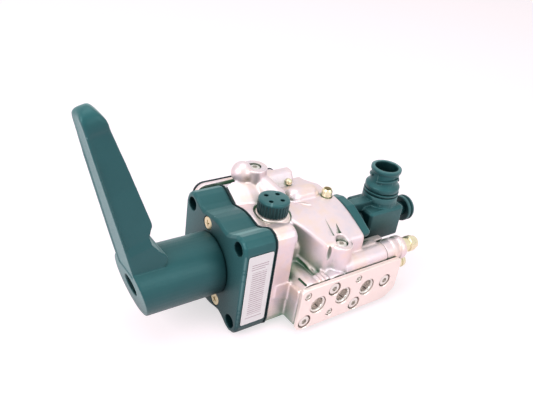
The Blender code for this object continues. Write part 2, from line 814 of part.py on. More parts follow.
def make_rotary_disc(axis):
    back = seat_front() - GAP
    front = back - DISC_THICKNESS
    disc = rod("disc", (front, 0, 0), "+X", DISC_THICKNESS, DISC_RADIUS, 26)
    slot = box(
        "tongue_slot",
        (front - PAST, -TONGUE_HALF_WIDTH - GAP, -TONGUE_HALF_HEIGHT - GAP),
        (front - GAP + DISC_THICKNESS * 0.6 + 2 * GAP, TONGUE_HALF_WIDTH + GAP, TONGUE_HALF_HEIGHT + GAP),
    )
    cut(disc, slot)
    for name, angle in (("supply", 60.0), ("exhaust", -60.0)):
        turn = math.radians(angle)
        place = (
            back - DISC_POCKET_DEPTH,
            DISC_POCKET_CIRCLE * math.sin(turn),
            DISC_POCKET_CIRCLE * math.cos(turn),
        )
        cut(disc, rod(name + "_pocket", place, "+X", DISC_POCKET_DEPTH + PAST, DISC_POCKET_RADIUS, 12))
    steel(disc, "rotary_valve_disc", axis)
    spring_front = DETENT_STATION + DETENT_THICKNESS / 2 + GAP
    spring = coil(
        "spring",
        (spring_front, 0, 0),
        "+X",
        DISC_SPRING_RADIUS,
        front - GAP - spring_front,
        2,
        DISC_SPRING_WIRE,
    )
    steel(spring, "disc_spring", axis)


def make_seat_plate():
    front = seat_front()
    seat = rod("seat", (front, 0, 0), "+X", SEAT_THICKNESS, CAVITY_RADIUS - GAP, 32)
    for name, y, z in (("gallery", GALLERY_Y, PORT_HEIGHT), ("exhaust", SILENCER_Y, exhaust_height())):
        hole = rod(
            name + "_seat_hole", (front - PAST, y, z), "+X", SEAT_THICKNESS + 2 * PAST, SEAT_HOLE_RADIUS, 16
        )
        cut(seat, hole)
    steel(seat, "valve_seat_plate")


def exhaust_height():
    return CAVITY_RADIUS * 0.45


# Housing at the front


def make_housing():
    shell = plate("housing_outline", lobed_outline(), "X", 0, HOUSING_DEPTH)
    soften(shell, 1.4 * MM)
    cavity = rod(
        "housing_cavity", (HOUSING_WALL, 0, 0), "+X", HOUSING_DEPTH - HOUSING_WALL + PAST, CAVITY_RADIUS, 26
    )
    bore = rod("housing_bore", (-PAST, 0, 0), "+X", HOUSING_WALL + 2 * PAST, SHAFT_RADIUS + GAP)
    plunger_top = plunger_bottom() + PLUNGER_LENGTH + PLUNGER_SPRING_LENGTH + 2 * GAP
    guide = rod(
        "plunger_guide",
        (DETENT_STATION, 0, CAVITY_RADIUS - 2 * PAST),
        "+Z",
        plunger_top - CAVITY_RADIUS + 2 * PAST,
        PLUNGER_RADIUS + GAP,
        16,
    )
    cut(shell, cavity, bore, guide)
    for i, (y, z) in enumerate(bolt_places()):
        hole = rod(f"bolt_hole_{i}", (-PAST, y, z), "+X", HOUSING_DEPTH + 2 * PAST, BOLT_HOLE_RADIUS, 14)
        cut(shell, hole)
    for name, y, z in HOUSING_SCREWS:
        sink = rod(
            name + "_screw_sink", (-PAST, y, z), "+X", PAST + HOUSING_SCREW_HEAD_DEPTH + GAP,
            HOUSING_SCREW_HEAD_RADIUS + GAP, 16,
        )
        hole = rod(
            name + "_screw_hole", (-PAST, y, z), "+X", HOUSING_DEPTH + 2 * PAST,
            HOUSING_SCREW_RADIUS + GAP, 8,
        )
        cut(shell, sink, hole)
    plastic(shell, "front_housing")


def bolt_places():
    return [(y * BOLT_OFFSET, z * BOLT_OFFSET) for y in (-1, 1) for z in (-1, 1)]


def plunger_bottom():
    return DETENT_RADIUS + GAP


def make_detent_plunger():
    bottom = plunger_bottom()
    profile = [
        (0, PLUNGER_LENGTH),
        (PLUNGER_RADIUS, PLUNGER_LENGTH),
        (PLUNGER_RADIUS, PLUNGER_RADIUS),
        (PLUNGER_TIP_RADIUS, 0.3 * MM),
        (PLUNGER_TIP_RADIUS / 2, 0),
        (0, 0),
    ]
    carrier = bpy.data.objects.new("detent_plunger_axis", None)
    PARTS.objects.link(carrier)
    plunger = turned("plunger", (DETENT_STATION, 0, bottom), "+Z", profile, 16)
    steel(plunger, "detent_plunger", carrier)
    spring = coil(
        "spring",
        (DETENT_STATION, 0, bottom + PLUNGER_LENGTH + GAP),
        "+Z",
        PLUNGER_RADIUS - PLUNGER_SPRING_WIRE - GAP,
        PLUNGER_SPRING_LENGTH,
        3,
        PLUNGER_SPRING_WIRE,
    )
    steel(spring, "detent_spring")


def make_housing_screws():
    for name, y, z in HOUSING_SCREWS:
        profile = [
            (0, HOUSING_SCREW_LENGTH),
            (HOUSING_SCREW_RADIUS, HOUSING_SCREW_LENGTH - MM),
            (HOUSING_SCREW_RADIUS, HOUSING_SCREW_HEAD_DEPTH),
            (HOUSING_SCREW_HEAD_RADIUS, HOUSING_SCREW_HEAD_DEPTH),
            (HOUSING_SCREW_HEAD_RADIUS, 0.5 * MM),
            (HOUSING_SCREW_HEAD_RADIUS * 0.8, 0),
            (0, 0),
        ]
        screw = turned(name + "_profile", (0, y, z), "+X", profile)
        long, short, deep = 2.4 * MM, 0.5 * MM, 1.0 * MM
        bar = box(name + "_bar", (-PAST, y - long, z - short), (deep, y + long, z + short))
        cross = box(name + "_cross", (-PAST, y - short, z - long), (deep, y + short, z + long))
        cut(screw, bar, cross)
        finish(screw, f"housing_screw_{name}", BRASS, 0.3, 1.0)


def make_gasket():
    front = HOUSING_DEPTH + GAP
    sheet = plate("gasket_outline", lobed_outline(0.25 * MM), "X", front, front + GASKET_THICKNESS)
    reach = GASKET_THICKNESS + 2 * PAST
    cut(sheet, rod("gasket_window", (front - PAST, 0, 0), "+X", reach, CAVITY_RADIUS, 26))
    for i, (y, z) in enumerate(bolt_places()):
        cut(sheet, rod(f"gasket_bolt_{i}", (front - PAST, y, z), "+X", reach, BOLT_HOLE_RADIUS, 10))
    for name, y, z in HOUSING_SCREWS:
        cut(
            sheet,
            rod(
                name + "_gasket_hole",
                (front - PAST, y, z),
                "+X",
                reach,
                HOUSING_SCREW_RADIUS + GAP,
                8,
            ),
        )
    rubber(sheet, "housing_gasket")


def make_label():
    outer = BOLT_OFFSET + LOBE_RADIUS + GAP
    outline = rounded_rectangle(
        LABEL_MARGIN, LABEL_MARGIN + LABEL_WIDTH, -LABEL_HALF_HEIGHT, LABEL_HALF_HEIGHT, 1.2 * MM, 3
    )
    label = plate("label_outline", outline, "Y", -outer - LABEL_THICKNESS, -outer)
    finish(label, "side_label", PAPER, 0.6)


# Cast body


def port_places():
    return [PORT_FIRST + PORT_PITCH * i for i in range(PORT_COUNT)]


def plate_screw_places():
    """Screws stand below the first port, above the second and below the third, then at the end."""
    places = []
    for i, x in enumerate(port_places()):
        side = -1 if i % 2 == 0 else 1
        rise = FASTENER_RISE if side < 0 else FASTENER_RISE - 2 * MM
        places.append((x - FASTENER_STEP + MM, PORT_HEIGHT + side * rise))
    places.append((LAST_SCREW_X, PORT_HEIGHT))
    return places


def dowel_places():
    """Small dowels stand across the port line from the screws."""
    places = []
    for i, x in enumerate(port_places()):
        side = 1 if i % 2 == 0 else -1
        rise = FASTENER_RISE - 0.6 * MM
        places.append((x - FASTENER_STEP + 0.4 * MM, PORT_HEIGHT + side * rise))
    return places


def hump_outline():
    """Cross-section of the roof over the valve chambers, as (y, z) points."""
    eave = eased_corner(
        (-HUMP_NEAR, HUMP_EAVE - 3 * MM),
        (-HUMP_NEAR, HUMP_EAVE),
        (-HUMP_NEAR + 4 * MM, HUMP_EAVE + 1.4 * MM),
        3,
    )
    slope = eased_corner(
        (-26 * MM, HUMP_EAVE + 5 * MM), (-15 * MM, HUMP_RIDGE - 0.8 * MM), (-4 * MM, HUMP_RIDGE), 4
    )
    far = [(14 * MM, HUMP_RIDGE), (24 * MM, HUMP_RIDGE - 3 * MM), (FAR_WALL, HUMP_RIDGE - 6 * MM)]
    return [(-HUMP_NEAR, -BLOCK_TOP - PAST)] + eave + slope + far + [(FAR_WALL, -BLOCK_TOP - PAST)]


def make_hump():
    """The roof, with its front wall running back at a slant toward the ports."""
    hump = plate("hump", hump_outline(), "X", HUMP_FRONT, BODY_BACK)
    deep, high = 80 * MM, 40 * MM
    outline = [
        (HUMP_FRONT - PAST, -8 * MM),
        (HUMP_FRONT + HUMP_SLANT, -HUMP_NEAR - PAST),
        (HUMP_FRONT + HUMP_SLANT, -deep),
        (HUMP_FRONT - 20 * MM, -deep),
        (HUMP_FRONT - 20 * MM, -8 * MM),
    ]
    cut(hump, plate("hump_slant", outline, "Z", -high, high))
    return soften(hump, 1.2 * MM)


def make_columns():
    """Bolting lobes that run on behind the flange."""
    columns = []
    for i, (y, z) in enumerate(bolt_places()):
        back = FAR_COLUMN_BACK if y > 0 else NEAR_COLUMN_BACK
        start = FLANGE_BACK - 3 * MM
        column = rod(f"column_{i}", (start, y, z), "+X", back - start, LOBE_RADIUS - 0.4 * MM, 14)
        columns.append(soften(column, 1.5 * MM))
    return columns


def make_port_block():
    """Block behind the port plate, with the ridges of its drillings on top."""
    inset = 0.8 * MM
    low_corner = (PLATE_BACK - inset - PLATE_CHAMFER, -PLATE_BOTTOM + inset)
    outline = [
        (PLATE_FRONT + inset, -PLATE_BOTTOM + inset),
        low_corner,
        (PLATE_BACK - inset, -PLATE_BOTTOM + inset + PLATE_CHAMFER * 0.7),
        (PLATE_BACK - inset, -inset),
        (PILOT_BORE_FRONT - 6 * MM, -inset),
        (PILOT_BORE_FRONT - 8 * MM, -BLOCK_TOP),
        (PLATE_FRONT + inset, -BLOCK_TOP),
    ]
    block = soften(plate("port_block", outline, "Y", -PORT_BLOCK_FACE, -CORE_NEAR + 3 * MM), 1.2 * MM)
    ridges = []
    for i, x in enumerate(port_places()):
        ridge = rod(
            f"ridge_{i}", (x - BARREL_LEAD, -PORT_BLOCK_FACE, -BARREL_DROP), "+Y",
            PORT_BLOCK_FACE - CORE_NEAR + 3 * MM, BARREL_RADIUS, 16,
        )
        ridges.append(ridge)
    thin = box(
        "thin_rib", (54.0 * MM, -PORT_BLOCK_FACE, -BLOCK_TOP - PAST), (
            55.4 * MM, -CORE_NEAR + MM, -0.6 * MM
        )
    )
    lumps = [
        ball("front_lump", (57.6 * MM, -38.6 * MM, -BLOCK_TOP), 3.2 * MM, 8),
        ball("back_lump", (59.4 * MM, -42.8 * MM, -BLOCK_TOP), 2.8 * MM, 8),
    ]
    return [block, *ridges, thin, *lumps]


def make_bosses():
    near = rod(
        "near_boss", (NEAR_BOSS_X, NEAR_BOSS_Y, -BLOCK_TOP - PAST), "+Z",
        NEAR_BOSS_TOP + BLOCK_TOP + PAST, NEAR_BOSS_RADIUS, 18,
    )
    far = rod(
        "far_boss", (FAR_BOSS_X, FAR_BOSS_Y, CORE_TOP - 5 * MM), "+Z",
        FAR_BOSS_TOP - CORE_TOP + 5 * MM, FAR_BOSS_RADIUS, 16,
    )
    dome_x = FAR_BOSS_X - 7.5 * MM
    dome_y = FAR_BOSS_Y + 2.2 * MM
    dome_z = FAR_BOSS_TOP - 5.0 * MM
    dome = ball("far_dome", (dome_x, dome_y, dome_z), 6.9 * MM, 14)
    stem = rod(
        "far_dome_stem",
        (dome_x, dome_y, CORE_TOP - 5 * MM),
        "+Z",
        dome_z - CORE_TOP + 5 * MM,
        4.5 * MM,
        12,
    )
    return [soften(near, 1.2 * MM), soften(far, 1.6 * MM), dome, stem]


def make_top_forms():
    """Seat of the silencer, the cross drilling behind it, the long lump and the far rib."""
    seat = rod(
        "silencer_boss", (SILENCER_X, SILENCER_Y, CORE_TOP - 8 * MM), "+Z",
        SILENCER_BOSS_TOP - CORE_TOP + 8 * MM, SILENCER_BOSS_RADIUS, 20,
    )
    cross = rod(
        "cross_drilling", (49.0 * MM, 2 * MM, CORE_TOP + 5.5 * MM), "+Y", FAR_WALL - 9 * MM, 6.5 * MM, 18
    )
    lump = rod("long_lump", (64 * MM, 6 * MM, HUMP_RIDGE - 0.5 * MM), "+X", 13 * MM, 7 * MM, 10)
    ends = [
        ball("lump_front", (64 * MM, 6 * MM, HUMP_RIDGE - 0.5 * MM), 7 * MM, 10),
        ball("lump_back", (77 * MM, 6 * MM, HUMP_RIDGE - 0.5 * MM), 7 * MM, 10),
    ]
    rib_outline = [
        (FAR_WALL, CORE_TOP - 8 * MM),
        (FAR_WALL, SIDE_TOP + 1.5 * MM),
        (FAR_WALL - 6 * MM, SIDE_TOP + 1.5 * MM),
        (FAR_WALL - 13 * MM, CORE_TOP - 3 * MM),
        (FAR_WALL - 13 * MM, CORE_TOP - 8 * MM),
    ]
    rib = plate("far_rib", rib_outline, "X", FAR_BOSS_X + 5 * MM, SIDE_BACK + 7 * MM)
    return [seat, cross, lump, *ends, soften(rib, 0.8 * MM)]


def body_solids():
    start = FLANGE_BACK - 4 * MM
    core_outline = [
        (-CORE_NEAR, -CORE_BOTTOM),
        (FAR_WALL, -CORE_BOTTOM),
        (FAR_WALL, CORE_TOP),
        (-CORE_NEAR / 3, CORE_TOP),
        (-CORE_NEAR, CORE_TOP / 2),
    ]
    core = plate("core", core_outline, "X", start, BODY_BACK)
    barrel_front = NEAR_BOSS_X
    barrel = rod(
        "pilot_barrel", (barrel_front, PILOT_Y, PILOT_Z), "+X",
        PILOT_BARREL_BACK - barrel_front, PILOT_BARREL_RADIUS, 20,
    )
    saddle = box(
        "pilot_saddle", (barrel_front, -HUMP_NEAR, -BLOCK_TOP - PAST),
        (BODY_BACK, -CORE_NEAR + PAST, PILOT_Z + 6.5 * MM),
    )
    shoulder = box(
        "pilot_shoulder", (BODY_BACK - 5 * MM, -HUMP_NEAR, -BLOCK_TOP - PAST),
        (PILOT_BARREL_BACK - 2 * MM, SOLENOID_Y - COIL_HALF_WIDTH - 6.5 * MM, PILOT_Z + 8.3 * MM),
    )
    sill = box(
        "coil_sill", (BODY_BACK + 10 * MM, -HUMP_NEAR, -BLOCK_TOP - PAST),
        (PLATE_BACK - 1.6 * MM, -CORE_NEAR, PILOT_Z + 5.9 * MM),
    )
    rear = box(
        "rear_block", (BODY_BACK - 5 * MM, -CORE_NEAR - 5 * MM, -CORE_BOTTOM + 3 * MM),
        (PLATE_BACK - 6 * MM, CORE_NEAR, SOLENOID_Z - COIL_HEIGHT_DOWN - 4 * MM),
    )
    gusset = plate(
        "gusset",
        [(FLANGE_FRONT + 3 * MM, -3 * MM), (FLANGE_BACK, -3 * MM), (PLATE_FRONT + 4 * MM, -14 * MM),
         (PLATE_FRONT + 4 * MM, -18 * MM), (FLANGE_FRONT + 3 * MM, -12 * MM)],
        "Y",
        -BOLT_OFFSET - LOBE_RADIUS - 0.4 * MM,
        -CORE_NEAR,
    )
    return [
        soften(core, 2.0 * MM),
        make_hump(),
        *make_columns(),
        *make_port_block(),
        barrel,
        soften(saddle, 1.2 * MM),
        soften(shoulder, 2.0 * MM),
        soften(sill, 1.2 * MM),
        soften(rear, 2.0 * MM),
        gusset,
        *make_bosses(),
        *make_top_forms(),
    ]


def body_cuts():
    cuts = [
        rod(
            "valve_pocket",
            (FLANGE_FRONT - PAST, 0, 0),
            "+X",
            seat_front() + SEAT_THICKNESS + GAP - FLANGE_FRONT + PAST,
            CAVITY_RADIUS,
            26,
        ),
    ]
    for i, (y, z) in enumerate(bolt_places()):
        cuts.append(
            rod(
                f"tapped_{i}",
                (FLANGE_FRONT - PAST, y, z),
                "+X",
                FLANGE_THICKNESS - PAST,
                TAPPED_HOLE_RADIUS,
                8,
            ),
        )
    for name, y, z in HOUSING_SCREWS:
        reach = HOUSING_SCREW_LENGTH - FLANGE_FRONT + PAST
        cuts.append(
            rod(
                name + "_body_thread",
                (FLANGE_FRONT - PAST, y, z),
                "+X",
                reach + PAST,
                HOUSING_SCREW_RADIUS + GAP,
                8,
            ),
        )
    seat_back = seat_front() + SEAT_THICKNESS
    last_port = port_places()[-1]
    cuts.append(
        rod(
            "gallery",
            (seat_back - PAST, GALLERY_Y, PORT_HEIGHT),
            "+X",
            last_port - seat_back + 2 * PAST,
            GALLERY_RADIUS,
            8,
        ),
    )
    cuts.append(
        rod(
            "exhaust_run",
            (seat_back - PAST, SILENCER_Y, exhaust_height()),
            "+X",
            SILENCER_X - seat_back + PAST,
            SEAT_HOLE_RADIUS,
            8,
        ),
    )
    spot = SILENCER_SEAT_RADIUS + PAST
    cuts.append(
        rod(
            "silencer_spot_face",
            (SILENCER_X, SILENCER_Y, SILENCER_BOSS_TOP),
            "+Z",
            20 * MM,
            spot,
            24,
        ),
    )
    well = exhaust_height() - SEAT_HOLE_RADIUS - PAST
    cuts.append(
        rod(
            "silencer_well",
            (SILENCER_X, SILENCER_Y, well),
            "+Z",
            SILENCER_BOSS_TOP - well + PAST,
            SILENCER_NIPPLE_RADIUS + GAP,
        ),
    )
    for i, x in enumerate(port_places()):
        cuts.append(
            rod(
                f"port_bore_{i}",
                (x, -PORT_BLOCK_FACE - PAST, PORT_HEIGHT),
                "+Y",
                PORT_DEPTH + PAST,
                PORT_BORE_RADIUS,
                16,
            ),
        )
        inner = -PORT_BLOCK_FACE + PORT_DEPTH
        cuts.append(
            rod(
                f"port_run_{i}",
                (x, inner - PAST, PORT_HEIGHT),
                "+Y",
                GALLERY_Y - inner + PAST,
                GALLERY_RADIUS,
                8,
            ),
        )
    for i, (x, z) in enumerate(plate_screw_places()):
        cuts.append(
            rod(
                f"plate_thread_{i}",
                (x, -PORT_BLOCK_FACE - PAST, z),
                "+Y",
                PLATE_SCREW_LENGTH + PAST,
                PLATE_SCREW_RADIUS + GAP,
                8,
            ),
        )
    for i, (x, z) in enumerate(dowel_places()):
        cuts.append(
            rod(
                f"dowel_hole_{i}",
                (x, -PORT_BLOCK_FACE - PAST, z),
                "+Y",
                DOWEL_LENGTH + PAST,
                DOWEL_RADIUS + GAP,
                10,
            ),
        )
    cuts.append(
        rod(
            "pilot_bore",
            (PILOT_BORE_FRONT, PILOT_Y, PILOT_Z),
            "+X",
            PILOT_BARREL_BACK - PILOT_BORE_FRONT + PAST,
            PILOT_BORE_RADIUS,
            12,
        ),
    )
    cuts.append(pilot_relief("block_relief"))
    coil_near = SOLENOID_Y - COIL_HALF_WIDTH - 3 * PAST
    coil_low = SOLENOID_Z - COIL_HEIGHT_DOWN - PAST
    cuts.append(box("coil_space", (BODY_BACK, coil_near, coil_low), (PLATE_BACK, FAR_WALL, CORE_TOP)))
    for name, x, y, top in boss_places():
        recess = top - BOSS_SCREW_SUNK - BOSS_SCREW_HEAD_LENGTH - GAP
        cuts.append(
            rod(
                name + "_recess",
                (x, y, recess),
                "+Z",
                top - recess + 8 * PAST,
                BOSS_SCREW_HEAD_RADIUS + 2.5 * GAP,
                14,
            ),
        )
        depth = recess - BOSS_SCREW_LENGTH - PAST
        cuts.append(
            rod(
                name + "_thread",
                (x, y, depth),
                "+Z",
                recess - depth + PAST,
                BOSS_SCREW_RADIUS + GAP,
                8,
            ),
        )
    tube_front = BODY_BACK - TUBE_INSERTION
    cuts.append(
        rod(
            "tube_bore",
            (tube_front - GAP, SOLENOID_Y, SOLENOID_Z),
            "+X",
            TUBE_INSERTION + PAST + GAP,
            TUBE_RADIUS + GAP,
            20,
        ),
    )
    cuts.append(
        rod(
            "side_fitting_bore",
            (PLATE_BACK - FITTING_SHANK - PAST, SIDE_FITTING_Y, PORT_HEIGHT),
            "+X",
            FITTING_SHANK + 2 * PAST,
            FITTING_BORE_RADIUS + PAST + GAP,
            12,
        ),
    )
    cuts.append(
        rod(
            "top_fitting_bore",
            (TOP_FITTING_X, TOP_FITTING_Y, HUMP_RIDGE - FITTING_SHANK - PAST),
            "+Z",
            FITTING_SHANK + 2 * PAST,
            FITTING_BORE_RADIUS + PAST + GAP,
            12,
        ),
    )
    return cuts


def boss_places():
    return (
        ("near_boss", NEAR_BOSS_X, NEAR_BOSS_Y, NEAR_BOSS_TOP),
        ("far_boss", FAR_BOSS_X, FAR_BOSS_Y, FAR_BOSS_TOP),
    )


def make_body():
    body = plate("flange", lobed_outline(-0.3 * MM), "X", FLANGE_FRONT, FLANGE_BACK)
    soften(body, 0.8 * MM)
    # The exact solver leaves open edges where these cast forms graze each other
    combine(body, body_solids(), "UNION", "MANIFOLD")
    combine(body, body_cuts(), "DIFFERENCE", "MANIFOLD")
    aluminium(body, "valve_body")


# Silencer


def make_silencer():
    seat_bottom = SILENCER_BOSS_TOP + GAP
    seat_top = seat_bottom + SILENCER_SEAT_THICKNESS
    inner = SILENCER_NIPPLE_RADIUS - SILENCER_NIPPLE_WALL
    nipple_top = seat_top + SILENCER_HEIGHT * 0.4
    profile = [
        (SILENCER_NIPPLE_RADIUS, nipple_top),
        (SILENCER_NIPPLE_RADIUS, seat_top),
        (SILENCER_SEAT_RADIUS - 0.4 * MM, seat_top),
        (SILENCER_SEAT_RADIUS, seat_top - 0.4 * MM),
        (SILENCER_SEAT_RADIUS, seat_bottom),
        (SILENCER_NIPPLE_RADIUS, seat_bottom),
        (SILENCER_NIPPLE_RADIUS, seat_bottom - 6 * MM),
        (inner, seat_bottom - 6 * MM),
        (inner, nipple_top),
    ]
    at = (SILENCER_X, SILENCER_Y, 0)
    finish(turned("seat_profile", at, "+Z", profile, 18), "silencer_seat", ZINC_PLATE, 0.4, 1.0)

    bottom = seat_top + GAP
    top = bottom + SILENCER_HEIGHT
    cap = rod(
        "cap",
        (SILENCER_X, SILENCER_Y, bottom),
        "+Z",
        SILENCER_HEIGHT,
        SILENCER_RADIUS,
        SILENCER_KNURLS * 2,
    )
    for i, vertex in enumerate(cap.data.vertices):
        angle = math.atan2(vertex.co.y, vertex.co.x)
        ridge = round(angle / math.pi * SILENCER_KNURLS) % 2
        if ridge:
            vertex.co.x *= 0.965
            vertex.co.y *= 0.965
    soften(cap, 0.7 * MM, 1, 60)
    hollow = SILENCER_RADIUS - SILENCER_WALL
    cut(
        cap,
        rod(
            "cap_hollow",
            (SILENCER_X, SILENCER_Y, bottom - PAST),
            "+Z",
            SILENCER_HEIGHT - SILENCER_WALL + PAST,
            hollow,
            18,
        ),
    )
    for i in range(4):
        angle = SILENCER_VENT_TURN + i * math.pi / 2
        place = (
            SILENCER_X + SILENCER_VENT_CIRCLE * math.cos(angle),
            SILENCER_Y + SILENCER_VENT_CIRCLE * math.sin(angle),
            top - SILENCER_WALL - PAST,
        )
        cut(cap, rod(f"vent_{i}", place, "+Z", SILENCER_WALL + 2 * PAST, SILENCER_VENT_RADIUS, 8))
    plastic(cap, "silencer_cap")
    filter_bottom = nipple_top + GAP
    filter_top = top - SILENCER_WALL - 2 * MM
    pad = rod(
        "pad",
        (SILENCER_X, SILENCER_Y, filter_bottom),
        "+Z",
        filter_top - filter_bottom,
        hollow - GAP,
        24,
    )
    finish(pad, "silencer_filter", (0.75, 0.7, 0.6), 0.9)


# Port plate and ports


def plate_outline(inset=0.0):
    left, right = PLATE_FRONT + inset, PLATE_BACK - inset
    bottom, top = -PLATE_BOTTOM + inset, -inset
    radius = PLATE_CORNER_RADIUS
    return (
        arc(right - radius, top - radius, radius, 0, 90, 4)
        + arc(left + radius, top - radius, radius, 90, 180, 4)
        + arc(left + radius, bottom + radius, radius, 180, 270, 4)
        + arc(right - PLATE_CHAMFER - radius, bottom + radius, radius, 270, 325, 3)
        + arc(right - radius, bottom + PLATE_CHAMFER * 0.7 + radius, radius, 325, 360, 3)
    )


def pilot_relief(name):
    """Clears the pilot barrel's cap, which overhangs the port block."""
    at = (PILOT_BARREL_BACK, PILOT_Y, PILOT_Z)
    return rod(name, at, "+X", PILOT_CAP_LENGTH, PILOT_CAP_RADIUS + GAP, 24)


def make_port_plate():
    face = soften(
        plate("plate", plate_outline(), "Y", -PORT_FACE, -PORT_FACE + PORT_PLATE_THICKNESS),
        0.6 * MM,
    )
    seal_back = -PORT_FACE + PORT_PLATE_THICKNESS + GAP
    seal = plate("seal", plate_outline(1.0 * MM), "Y", seal_back, seal_back + PORT_SEAL_THICKNESS)
    cut(seal, pilot_relief("seal_relief"))
    start = -PORT_FACE - PAST
    reach = PORT_PLATE_THICKNESS + PORT_SEAL_THICKNESS + 2 * GAP + 2 * PAST
    for i, x in enumerate(port_places()):
        cut(face, rod(f"plate_port_{i}", (x, start, PORT_HEIGHT), "+Y", reach, PORT_OPENING_RADIUS, 18))
        cut(seal, rod(f"seal_port_{i}", (x, start, PORT_HEIGHT), "+Y", reach, PORT_BORE_RADIUS, 12))
    for i, (x, z) in enumerate(plate_screw_places()):
        head = rod(f"plate_sink_{i}", (x, start, z), "+Y", reach, PLATE_SCREW_HEAD_RADIUS + 1.5 * GAP, 11)
        cut(face, head)
        cut(seal, head)
    for i, (x, z) in enumerate(dowel_places()):
        hole = rod(f"dowel_way_{i}", (x, start, z), "+Y", reach, DOWEL_RADIUS + GAP, 8)
        cut(face, hole)
        cut(seal, hole)
    finish(face, "port_plate", MACHINED_ALUMINIUM, 0.35, 1.0)
    rubber(seal, "port_seal")


def make_plate_fasteners():
    for i, (x, z) in enumerate(plate_screw_places()):
        top = -PORT_BLOCK_FACE - GAP - PLATE_SCREW_HEAD_LENGTH
        screw = socket_screw(
            f"plate_screw_{i}", (x, top, z), "+Y", PLATE_SCREW_HEAD_RADIUS, PLATE_SCREW_HEAD_LENGTH,
            PLATE_SCREW_RADIUS, PLATE_SCREW_LENGTH - PAST,
        )
        finish(screw, f"plate_screw_{i + 1}", ZINC_PLATE, 0.35, 1.0)
    for i, (x, z) in enumerate(dowel_places()):
        back = -PORT_BLOCK_FACE + DOWEL_LENGTH - GAP
        front = -PORT_FACE + 0.5 * MM
        dowel = soften(rod(f"dowel_{i}", (x, front, z), "+Y", back - front, DOWEL_RADIUS, 14), 0.4 * MM)
        cut(
            dowel,
            rod(
                f"dowel_eye_{i}",
                (x, front - PAST, z),
                "+Y",
                2.4 * MM + PAST,
                DOWEL_RADIUS * 0.45,
                8,
            ),
        )
        finish(dowel, f"plate_dowel_{i + 1}", ZINC_PLATE, 0.35, 1.0)


def make_ports():
    for i, x in enumerate(port_places()):
        at = (x, 0, PORT_HEIGHT)
        front = -PORT_BLOCK_FACE + GAP
        depth = PORT_DEPTH - 2 * GAP
        collet_radius = PORT_OPENING_RADIUS - GAP
        collet_bore = collet_radius - COLLET_WALL
        outer = PORT_BORE_RADIUS - GAP
        guide = collet_radius + GAP
        collet_front = -PORT_FACE + COLLET_SUNK
        step = collet_front + COLLET_LENGTH + COLLET_TRAVEL + GAP - front
        sleeve_profile = [
            (collet_bore, depth),
            (outer, depth),
            (outer, 0),
            (guide, 0),
            (guide, step),
            (collet_bore, step),
        ]
        sleeve = turned(f"sleeve_{i}", (x, front, PORT_HEIGHT), "+Y", sleeve_profile, 14)
        finish(sleeve, f"port_sleeve_{i + 1}", ZINC_PLATE, 0.35, 1.0)
        collet_profile = [
            (collet_bore, COLLET_LENGTH),
            (collet_radius, COLLET_LENGTH),
            (collet_radius, 0.5 * MM),
            (collet_radius - 0.5 * MM, 0),
            (collet_bore + 0.8 * MM, 0),
            (collet_bore, 0.8 * MM),
        ]
        axis = bpy.data.objects.new(f"collet_axis_{i + 1}", None)
        axis.location = at
        PARTS.objects.link(axis)
        collet = turned(f"collet_{i}", (0, collet_front, 0), "+Y", collet_profile, 14)
        finish(collet, f"release_collet_{i + 1}", ZINC_PLATE, 0.3, 1.0, axis)


# Pilot barrel


def make_pilot():
    cap_front = PILOT_BARREL_BACK + GAP
    cap_back = cap_front + PILOT_CAP_LENGTH
    groove = PILOT_CAP_RADIUS - 0.9 * MM
    bore = FITTING_BORE_RADIUS + PAST + GAP
    profile = [
        (bore, cap_back),
        (PILOT_CAP_RADIUS - MM, cap_back),
        (PILOT_CAP_RADIUS, cap_back - MM),
        (PILOT_CAP_RADIUS, cap_back - 4.5 * MM),
        (groove, cap_back - 5.2 * MM),
        (groove, cap_back - 7.0 * MM),
        (PILOT_CAP_RADIUS, cap_back - 7.7 * MM),
        (PILOT_CAP_RADIUS, cap_back - 11.0 * MM),
        (groove, cap_back - 11.8 * MM),
        (groove, cap_front),
        (bore, cap_front),
    ]
    aluminium(turned("cap_profile", (0, PILOT_Y, PILOT_Z), "+X", profile), "pilot_cap")
    return cap_back


# Brass fittings


def hollow_fitting(name, at, direction, rings, shank_radius):
    """A turned fitting: rings of (radius, height) above its seat, a shank below and a bore."""
    profile = [(FITTING_BORE_RADIUS, rings[-1][1])]
    for radius, height in reversed(rings):
        profile.append((radius, height))
    profile += [(shank_radius, 0), (shank_radius, -FITTING_SHANK), (FITTING_BORE_RADIUS, -FITTING_SHANK)]
    return turned(name, at, direction, profile, 14)


